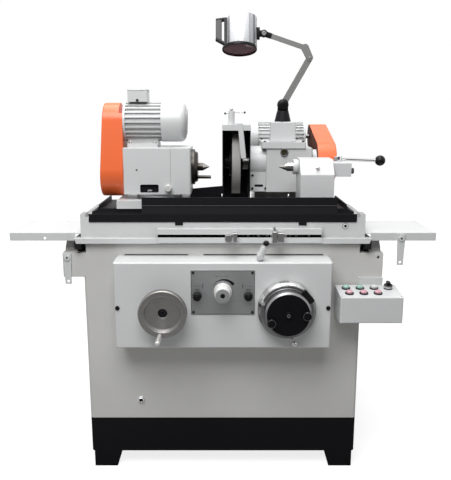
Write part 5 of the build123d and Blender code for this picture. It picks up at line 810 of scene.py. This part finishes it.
def tableDetails(plug, slotPlace, slotSize, slotX, foldX, foldPlace, hooks, hookRod, hookPlace,
                 rivetX, rivetY, rivetZ):
    plugRows = [(0, 0), (9.6, 0), (9.6, 1.6), (8.8, 2.4), (5, 2.4), (4.4, 1.4), (0, 1.2)]
    rimRows = [(9.4, -0.2), (11, -0.2), (11, 0.5), (10.4, 0.9), (9.4, 0.9)]
    coreRows = [(0, 0.8), (4.4, 0.8), (4.4, 1.8), (3.6, 2.6), (0, 2.8)]
    glint = slab((0, *slotPlace), toFront, *slotSize, 0.2, 0.5, 0.1)
    # grey line on the black plate's bend: painted highlight
    foldHighlight = swept([(x, *foldPlace) for x in foldX], boxSection(0.8, 1.4), toTop)
    hook = filleted([(0, 4.5, -22), (0, 4.5, 8), (0, -5, 12), (0, -9, 6)], 6.0, 6) + hookPlace
    rod = swept(hook, roundSection(hookRod), toRight)
    head = spun((0, 0, 0), toTop, [(0, -0.3), (4, -0.3), (3.6, 0.9), (2, 1.7), (0, 1.9)], 16)
    rivets = [(side * x, y, rivetZ) for side in (-1, 1) for x in rivetX for y in rivetY]
    return [(spun(plug, toFront, plugRows, 32), "castWhite"), (spun(plug, toFront, coreRows, 24), "blackPlastic"),
            (spun(plug, toFront, rimRows, 32, loop=True), "greyPlastic"),
            (copied(glint, [(x, 0, 0) for x in slotX]), "bareSteel"), (foldHighlight, "greyPlastic"),
            (copied(rod, [(x, 0, 0) for x in hooks]), "bareSteel"), (copied(head, rivets), "castWhite")]


makePiece("tableTrim", tableDetails(**tableTrim), "table")


# fan cover on a motor's cowl end: eight rings, height 1.1 + 0.9 cos(16 pi s) from rim to middle
def grille(centre, axis, radius):
    wave = np.linspace(0.0, 1.0, 49)
    rows = [(0, -0.4), (radius, -0.4)]
    rows += [(radius * (1 - s) + 0.001, 1.1 + 0.9 * math.cos(8 * 2 * np.pi * s)) for s in wave[:-1]]
    return spun(centre, axis, rows + [(0, 2.0)], 64)


# lid of a motor's terminal box, with a screw in each corner
def terminalLid(centre, axis, width, depth):
    thick, inset = 4.0, 6.0
    u, v, w = axisFrame(axis)
    grid = np.array([(-1, -1), (-1, 1), (1, -1), (1, 1)]) * (width / 2 - inset, depth / 2 - inset)
    places = np.array(centre) + grid[:, :1] * u + grid[:, 1:] * v + thick * w
    return [(slab(centre, axis, width, depth, thick, 5.0, 1.6), "castWhite"),
            (copied(capScrew(axis, 2.6, 1.8), places), "bareSteel")]


# workhead: motor trim, guard screws, catch and dot, seam round its housing
workTrim = {"fan": (-130.0, -220.0, 1257.0), "fanRadius": 46.0, "lid": (-298.0, -220.0, 1365.0),
            "lidSize": (70.0, 76.0), "gland": (-298.0, -257.0, 1331.0),
            "footX": (-324.0, -240.0), "footY": (-266.0, -174.0), "footZ": 1184.0,
            "guardScrews": ((-428.0, -276.0, 1097.0), (-428.0, -164.0, 1097.0), (-418.4, -220.0, 1294.0)),
            "catch": (-256.0, -301.0, 1019.5), "dot": (-300.0, -310.0, 1094.0), "seamX": -182.0,
            "seamY": (-310.0, -152.0), "seamZ": (1009.0, 1170.0)}


def workheadDetails(fan, fanRadius, lid, lidSize, gland, footX, footY, footZ, guardScrews, catch, dot,
                    seamX, seamY, seamZ):
    glandRows = [(0, -1), (5, -1), (5, 1.6), (4.6, 2.2, 1), (4.6, 4.2, 1), (3.8, 5), (2.4, 5), (2.4, 2), (0, 2)]
    dotRows = [(0, -0.4), (3.2, -0.4), (3.0, 0.6), (1.6, 1.0), (0, 1.0)]
    feet = [(x, y, footZ) for x in footX for y in footY]
    (front, back), (low, top) = seamY, seamZ
    seam = filleted([(seamX, front, low), (seamX, front, top), (seamX, back, top), (seamX, back, low)], 6.0, 7)
    return [(grille(fan, toRight, fanRadius), "castWhite"),
            (slab(catch, toFront, 16.0, 8.0, 4.0, 1.5, 0.6), "bareSteel"), *terminalLid(lid, toTop, *lidSize),
            (spun(gland, toFront, glandRows, 24), "darkSteel"), (copied(hexBolt(toTop, 5.0, 5.5), feet), "bareSteel"),
            (copied(capScrew(toLeft, 5.5, 4.0), guardScrews), "blackPaint"),
            (swept(seam, boxSection(0.5, 1.1), toRight), "knobGrey"), (spun(dot, toFront, dotRows, 16), "darkSteel")]


makePiece("workheadTrim", workheadDetails(**workTrim), "workhead")


# wheelhead: motor trim, guard screws, oil sight, tap handle, plate screws, a black sheet as painted shade of a slot,
# and bolts at the front
headTrim = {"fan": (112.0, 220.0, 1187.0), "fanRadius": 40.0, "lid": (295.0, 320.0, 1187.0), "lidSize": (70.0, 70.0),
            "guardX": 437.0, "guardScrews": ((-52.0, 1097.0), (52.0, 1097.0), (250.0, 1187.0)),
            "sight": (235.0, -66.0, 1138.0), "tap": (31.0, -116.0, 1294.0),
            "tapArm": ((8.0, 1285.0), (44.0, 1290.0), (80.0, 1288.5)),
            "plateX": (160.0, 307.0), "plateY": (-61.0, 141.0), "plateZ": 1177.0,
            "slot": (139.0, -52.0, 1008.0), "bolts": ((114.0, 1048.0), (114.0, 997.0), (165.0, 997.0))}


def wheelheadDetails(fan, fanRadius, lid, lidSize, guardX, guardScrews, sight, tap, tapArm,
                     plateX, plateY, plateZ, slot, bolts):
    ring = [(0, 0), (15, 0), (15, 5.5), (14, 7), (11.6, 7), (10.6, 5.6), (10.6, 4), (0, 4)]
    window = [(0, 3.5), (10.4, 3.5), (10.4, 4.6), (7, 5.4), (0, 5.8)]
    stem = [(0, -1), (4.5, -1), (4.5, 2), (6.5, 3), (6.5, 7), (5, 9), (0, 9.5)]
    knob = spun((0, 0, 0), toRight, [(0, -4), (3, -3.6), (3.9, -1.5), (3.9, 1.5), (3, 3.6), (0, 4)], 20)
    arm = [(x, tap[1], z) for x, z in tapArm]
    guardPlaces = [(guardX, y, z) for y, z in guardScrews]
    platePlaces = [(x, y, plateZ) for x in plateX for y in plateY]
    boltPlaces = [(x, slot[1], z) for x, z in bolts]
    return [(grille(fan, toLeft, fanRadius), "castWhite"), *terminalLid(lid, toRear, *lidSize),
            (copied(capScrew(toRight, 5.5, 4.0), guardPlaces), "blackPaint"),
            (spun(sight, toFront, ring, 40), "feedRim"), (spun(sight, toFront, window, 40), "sightGlass"),
            (spun(tap, toTop, stem, 24), "bareSteel"),
            (swept(filleted(arm, 8.0), roundSection(2.4), toRear), "bareSteel"),
            (copied(knob, (arm[0], arm[-1])), "blackPlastic"),
            (copied(capScrew(toTop, 5.0, 4.0), platePlaces), "blackPaint"),
            # thin black sheet for the slot's dark inside: painted shade
            (slab(slot, toFront, 34.0, 9.0, 0.6, 4.0, 0.3), "blackPaint"),
            (copied(capScrew(toFront, 4.6, 4.0), boltPlaces), "blackPaint")]


makePiece("wheelheadTrim", wheelheadDetails(**headTrim), "wheelhead")


# paper rings between the wheel and its flanges
blotters = {"feet": (33.4, 65.9), "thick": 0.7, "inner": 30.0, "outer": 63.0, "axis": (0.0, 0.0, 1097.0)}


def wheelBlotters(feet, thick, inner, outer, axis):
    rings = [[(inner, x), (outer, x), (outer, x + thick), (inner, x + thick)] for x in feet]
    return [(spun(axis, toRight, ring, 72, loop=True), "blotter") for ring in rings]


makePiece("wheelBlotters", wheelBlotters(**blotters), "wheel_drive")


# tailstock: oil cup on the slope, ridged knob at the right of the block
oilCup = {"place": (329.0, -302.5, 1096.5), "lean": (0.0, -0.74, 0.67), "knob": (452.0, -258.0, 1086.0)}


def tailCup(place, lean, knob):
    rows = [(0, -2), (9.5, -2), (9.5, 1.6), (8.6, 2.2, 1), (8.6, 6, 1), (7, 8), (7, 12.5), (5.4, 15), (0, 16)]
    knobRows = [(0, -1), (6, -1), (6, 3), (9.4, 3.4), (10, 4.4, 0, 1), (10, 11.5, 0, 1), (9, 13), (0, 13.6)]
    return [(spun(place, lean, rows, 30), "bareSteel"), (spun(knob, toRight, knobRows, 96, (24, 0.5)), "darkSteel")]


makePiece("tailOilCup", tailCup(**oilCup), "tailstock")


# lamp head: drawn shade with painted reflection streaks, wide bezel set to one side, lens with its reflector and
# bulb, loop handle whose grey grip is a painted highlight, pad and tongue
lampHead = {"pin": (154.04, -13.0, 1579.83), "axisX": 72.04, "drop": 65.0, "top": 126.0, "radius": 56.0,
            "bezel": 66.0, "rim": 12.0, "grip": (-88.5, 39.0, 119.0), "gripWide": 23.0, "seat": (-62.5, 20.0, 123.0),
            "pad": (10.0, 26.0, 44.0)}


def lampForms(pin, axisX, drop, top, radius, bezel, rim, grip, gripWide, seat, pad):
    axis = np.array((0.0, math.sin(lampLean), math.cos(lampLean)))
    across = np.array((0.0, math.cos(lampLean), -math.sin(lampLean)))
    side = np.array((1.0, 0.0, 0.0))
    foot = np.array((axisX, *pin[1:])) - axis * drop
    dish = foot + side * (radius - bezel)
    shade = [(0, rim - 1), (radius - 0.6, rim - 1), (radius - 0.1, rim), (radius - 0.1, top - 3),
             (radius - 1, top - 1), (radius - 3.5, top), (20, top - 0.6), (18, top - 2), (0, top - 2)]
    ring = [(bezel - 6, rim), (bezel - 3, rim), (bezel - 0.8, rim - 2.4), (bezel - 0.1, rim - 5), (bezel - 0.1, 1.6),
            (bezel - 1.2, 0.1), (bezel - 3.4, 0.1), (bezel - 4.2, 1.4), (bezel - 5, rim - 2)]
    lens = [(0, 2.6), (30, 2.9), (bezel - 6, 3.4), (bezel - 4.4, 4), (bezel - 4.4, 5.4), (0, 4.6)]
    cup = [(0, rim - 1.4), (20, rim - 1.6), (40, rim - 2.4), (bezel - 5.4, rim - 4), (bezel - 5.4, rim - 0.4),
           (0, rim - 0.4)]
    bulb = [(0, rim - 1.6), (17, rim - 1.8), (17, rim - 3.4), (12, rim - 5), (0, rim - 5.6)]
    eye = [(0, -5.4), (11.4, -5.4), (11.9, -4.8), (11.9, 4.8), (11.4, 5.4), (0, 5.4)]

    def bar(ends, *size):
        return swept([foot + side * x + axis * h for x, h in ends], boxSection(*size), across)

    def arm(start, end, *size):
        return swept([(start, *pin[1:]), (end, *pin[1:])], boxSection(*size), toRear), "blackPlastic"

    (gripX, low, high), (seatX, seatLow, seatHigh) = grip, seat
    insideX = gripX - gripWide / 2 + 1
    bars = [bar([(seatX, seatLow), (seatX, seatHigh)], 11.4, 23.6, 1.5),
            bar([(insideX, high - 4), (seatX, seatHigh - 3)], 7.6, 23.8, 1.2),
            bar([(insideX, low + 4), (seatX, seatLow + 3)], 8.0, 23.8, 1.2)]
    padLong, padWide, padHigh = pad
    edge = axisX + radius
    return [(spun(foot, axis, shade, 72), "lampShade"), (spun(dish, axis, ring, 72, loop=True), "blackPlastic"),
            (spun(dish, axis, lens, 64), "lensGlass"), (spun(dish, axis, cup, 64), "darkSteel"),
            (spun(dish - side * 18.0, axis, bulb, 40), "redLamp"),
            # grey grip on the black handle: painted highlight on its front face
            (bar([(gripX, low), (gripX, high - 2)], gripWide, 23.6, 5.0), "greyPlastic"),
            *((each, "blackPlastic") for each in bars), arm(edge - 7, edge + padLong, padHigh, padWide, 2.5),
            arm(edge + 2, pin[0] - 4, 23.6, 10.8, 1.5), (spun(pin, toFront, eye, 32), "blackPlastic")]


makePiece("lampHead", lampForms(**lampHead), "lamp", ("lamp_head",))


# clamp knobs on the lamp's joints, both sides of each fork; places are X and Z
lampKnobs = {"base": (231.0, 1317.1), "elbow": (329.79, 1491.0), "neck": (154.04, 1579.83),
             "beam": (310.79, 1528.3), "sleeve": 30.0, "y": -13.0, "fork": 9.0}


def jointKnob(place, radius, thick, finish, disc=0.0):
    rows = [(0, 0), (radius - 1, 0), (radius, 0.2 * thick), (0.97 * radius, 0.5 * thick),
            (0.82 * radius, 0.8 * thick), (0.55 * radius, 0.95 * thick), (0, thick)]
    cap = [(0, 0.5 * thick), (disc, 0.5 * thick), (disc, thick + 0.6), (disc - 1, thick + 1.2),
           (0.45 * disc, thick + 1.4), (0, thick + 0.4)]
    forms = []
    for axis in (toFront, toRear):
        centre = (place[0], lampKnobs["y"] + axis[1] * lampKnobs["fork"], place[1])
        forms.append((spun(centre, axis, rows, 48), finish))
        if disc:
            forms.append((spun(centre, axis, cap, 36), "armGrey"))
    return forms


# black sleeve over the end of the upper arm, both sides of the fork
def neckSleeve():
    (x, z), (farX, farZ) = lampKnobs["neck"], lampKnobs["beam"]
    run = np.array((farX - x, 0.0, farZ - z)) / math.hypot(farX - x, farZ - z) * lampKnobs["sleeve"]
    out = lampKnobs["fork"] + 0.6
    starts = [np.array((x, lampKnobs["y"] + side * out, z)) for side in (-1, 1)]
    section = boxSection(19.0, 2.0, 0.8)
    return [(swept([start, start + run], section, toRear), "blackPlastic") for start in starts]


baseKnob = jointKnob(lampKnobs["base"], 21.5, 11.0, "blackPlastic")
elbowKnob = jointKnob(lampKnobs["elbow"], 6.0, 2.4, "armGrey")
neckKnob = jointKnob(lampKnobs["neck"], 13.5, 5.0, "blackPlastic", 8.4)
makePiece("lampLowKnobs", baseKnob + elbowKnob, "lamp_low")
makePiece("lampNeckKnob", neckKnob + neckSleeve(), "lamp_high")


# dark slots in the rivets of the two straps
braceDots = {"left": (-538.0, -390.0, 799.0), "right": (613.0, -390.0, 867.0)}


def rivetDot(place):
    return [(spun(place, toFront, [(0, -0.4), (3.6, -0.4), (3.4, 0.4), (0, 0.5)], 20), "darkSteel")]


makePiece("braceDotLeft", rivetDot(braceDots["left"]), "left_brace")
makePiece("braceDotRight", rivetDot(braceDots["right"]), "right_brace")


# louvres in the rear cover
louvres = {"columns": (-120.0, 120.0), "rows": (330.0, 372.0, 414.0, 456.0, 498.0, 540.0, 582.0), "y": 384.0,
           "width": 150.0, "height": 18.0, "depth": 4.0}


# a louvre is a half pillow: depth sqrt(sin(pi s)) sqrt(1 - (1 - t)^2) over its length s and height t, its back flat
def rearLouvres(columns, rows, y, width, height, depth):
    s, t = np.meshgrid(np.linspace(0.0, 1.0, 21), np.linspace(0.0, 1.0, 9), indexing="ij")
    bulge = depth * np.sin(np.pi * s) ** 0.5 * np.sqrt(np.maximum(0.0, 1.0 - (1.0 - t) ** 2)) * (t > 0)
    outer = np.stack((width * (s - 0.5), bulge, -height * t), -1)
    flat = np.stack((width * (s - 0.5), 0 * bulge - 0.3, -height * t), -1)
    points = np.concatenate((outer, flat[:, ::-1]), axis=1)
    ends = [0 * edge + edge.mean(axis=(0, 1)) for edge in (points[:1], points[-1:])]
    pillow = skinned(np.concatenate((ends[0], points, ends[1])))
    return [(copied(pillow, [(x, y, z) for x in columns for z in rows]), "baseGreyAndShade")]


makePiece("rearLouvres", rearLouvres(**louvres), "base")


# studio: white floor that keeps its shadow, soft lamps, a dark wall seen only in polished metal
studio = {"floor": 14.0, "floorTone": 0.42, "floorGlow": (0.82, 1.0), "glowReach": (1.0, 3.5), "ambient": 0.14,
          "top": {"place": (-0.1, 0.0, 3.7), "aim": (0.0, 0.0, 0.8), "size": (2.4, 1.8), "power": 77.0},
          "key": {"place": (-0.45, -2.3, 3.1), "aim": (0.0, -0.3, 0.85), "size": (2.0, 1.6), "power": 73.0},
          "wall": {"place": (0.9, -4.4, 1.0), "size": (6.4, 4.2), "tone": 0.02}}


def areaLamp(name, place, aim, size, power):
    lamp = bpy.data.objects.new(name, bpy.data.lights.new(name, "AREA"))
    lamp.data.shape = "RECTANGLE"
    lamp.data.size, lamp.data.size_y = size
    lamp.data.energy = power
    lamp.location = place
    toward = np.array(aim) - np.array(place)
    lamp.rotation_euler = (math.acos(-toward[2] / np.linalg.norm(toward)), 0.0, math.atan2(-toward[0], toward[1]))
    scene.collection.objects.link(lamp)


def stageSheet(name, corners):
    mesh = bpy.data.meshes.new(name)
    mesh.from_pydata(corners, [], [(0, 1, 2, 3)])
    mesh.materials.append(finishes[name])
    sheet = bpy.data.objects.new(name, mesh)
    scene.collection.objects.link(sheet)
    return sheet


# the floor glows only to the camera, more with distance, up to plain white
def floorFinish():
    tree, shader, place = startFinish("studioFloor")
    seen = wire(tree, "LightPath").outputs
    away = wire(tree, "VectorMath", {0: place}, operation="LENGTH").outputs["Value"]
    glow = spread(tree, away, *studio["glowReach"], *studio["floorGlow"])
    level = calc(tree, "MULTIPLY", seen["Is Camera Ray"], glow)
    feed(tree, shader, {"Base Color": full((1, 1, 1), studio["floorTone"]), "Roughness": 0.9,
                        "Specular IOR Level": 0.0, "Emission Color": (1, 1, 1, 1), "Emission Strength": level})


floorFinish()
half = studio["floor"] / 2
stageSheet("studioFloor", [(-half, -half, 0), (half, -half, 0), (half, half, 0), (-half, half, 0)])

wall = studio["wall"]
tree, shader, _ = startFinish("studioWall")
feed(tree, shader, {"Base Color": full((1, 1, 1), wall["tone"])})
x, y, z = wall["place"]
w, h = wall["size"][0] / 2, wall["size"][1] / 2
dark = stageSheet("studioWall", [(x - w, y, z - h), (x + w, y, z - h), (x + w, y, z + h), (x - w, y, z + h)])
dark.visible_camera = dark.visible_diffuse = dark.visible_shadow = False

areaLamp("topLamp", **studio["top"])
areaLamp("keyLamp", **studio["key"])

# white to the camera and in reflections, dim as a light
world = bpy.data.worlds.new("studioWorld")
scene.world = world
world.use_nodes = True
tree = world.node_tree
tree.nodes.clear()
seen = wire(tree, "LightPath").outputs
direct = calc(tree, "MAXIMUM", seen["Is Camera Ray"], seen["Is Glossy Ray"])
direct = calc(tree, "MAXIMUM", direct, seen["Is Transmission Ray"])
strength = spread(tree, direct, 0.0, 1.0, studio["ambient"], 1.0)
sky = wire(tree, "Background", {"Color": (1, 1, 1, 1), "Strength": strength})
wire(tree, "OutputWorld", {"Surface": sky.outputs[0]})
print("studio ready")
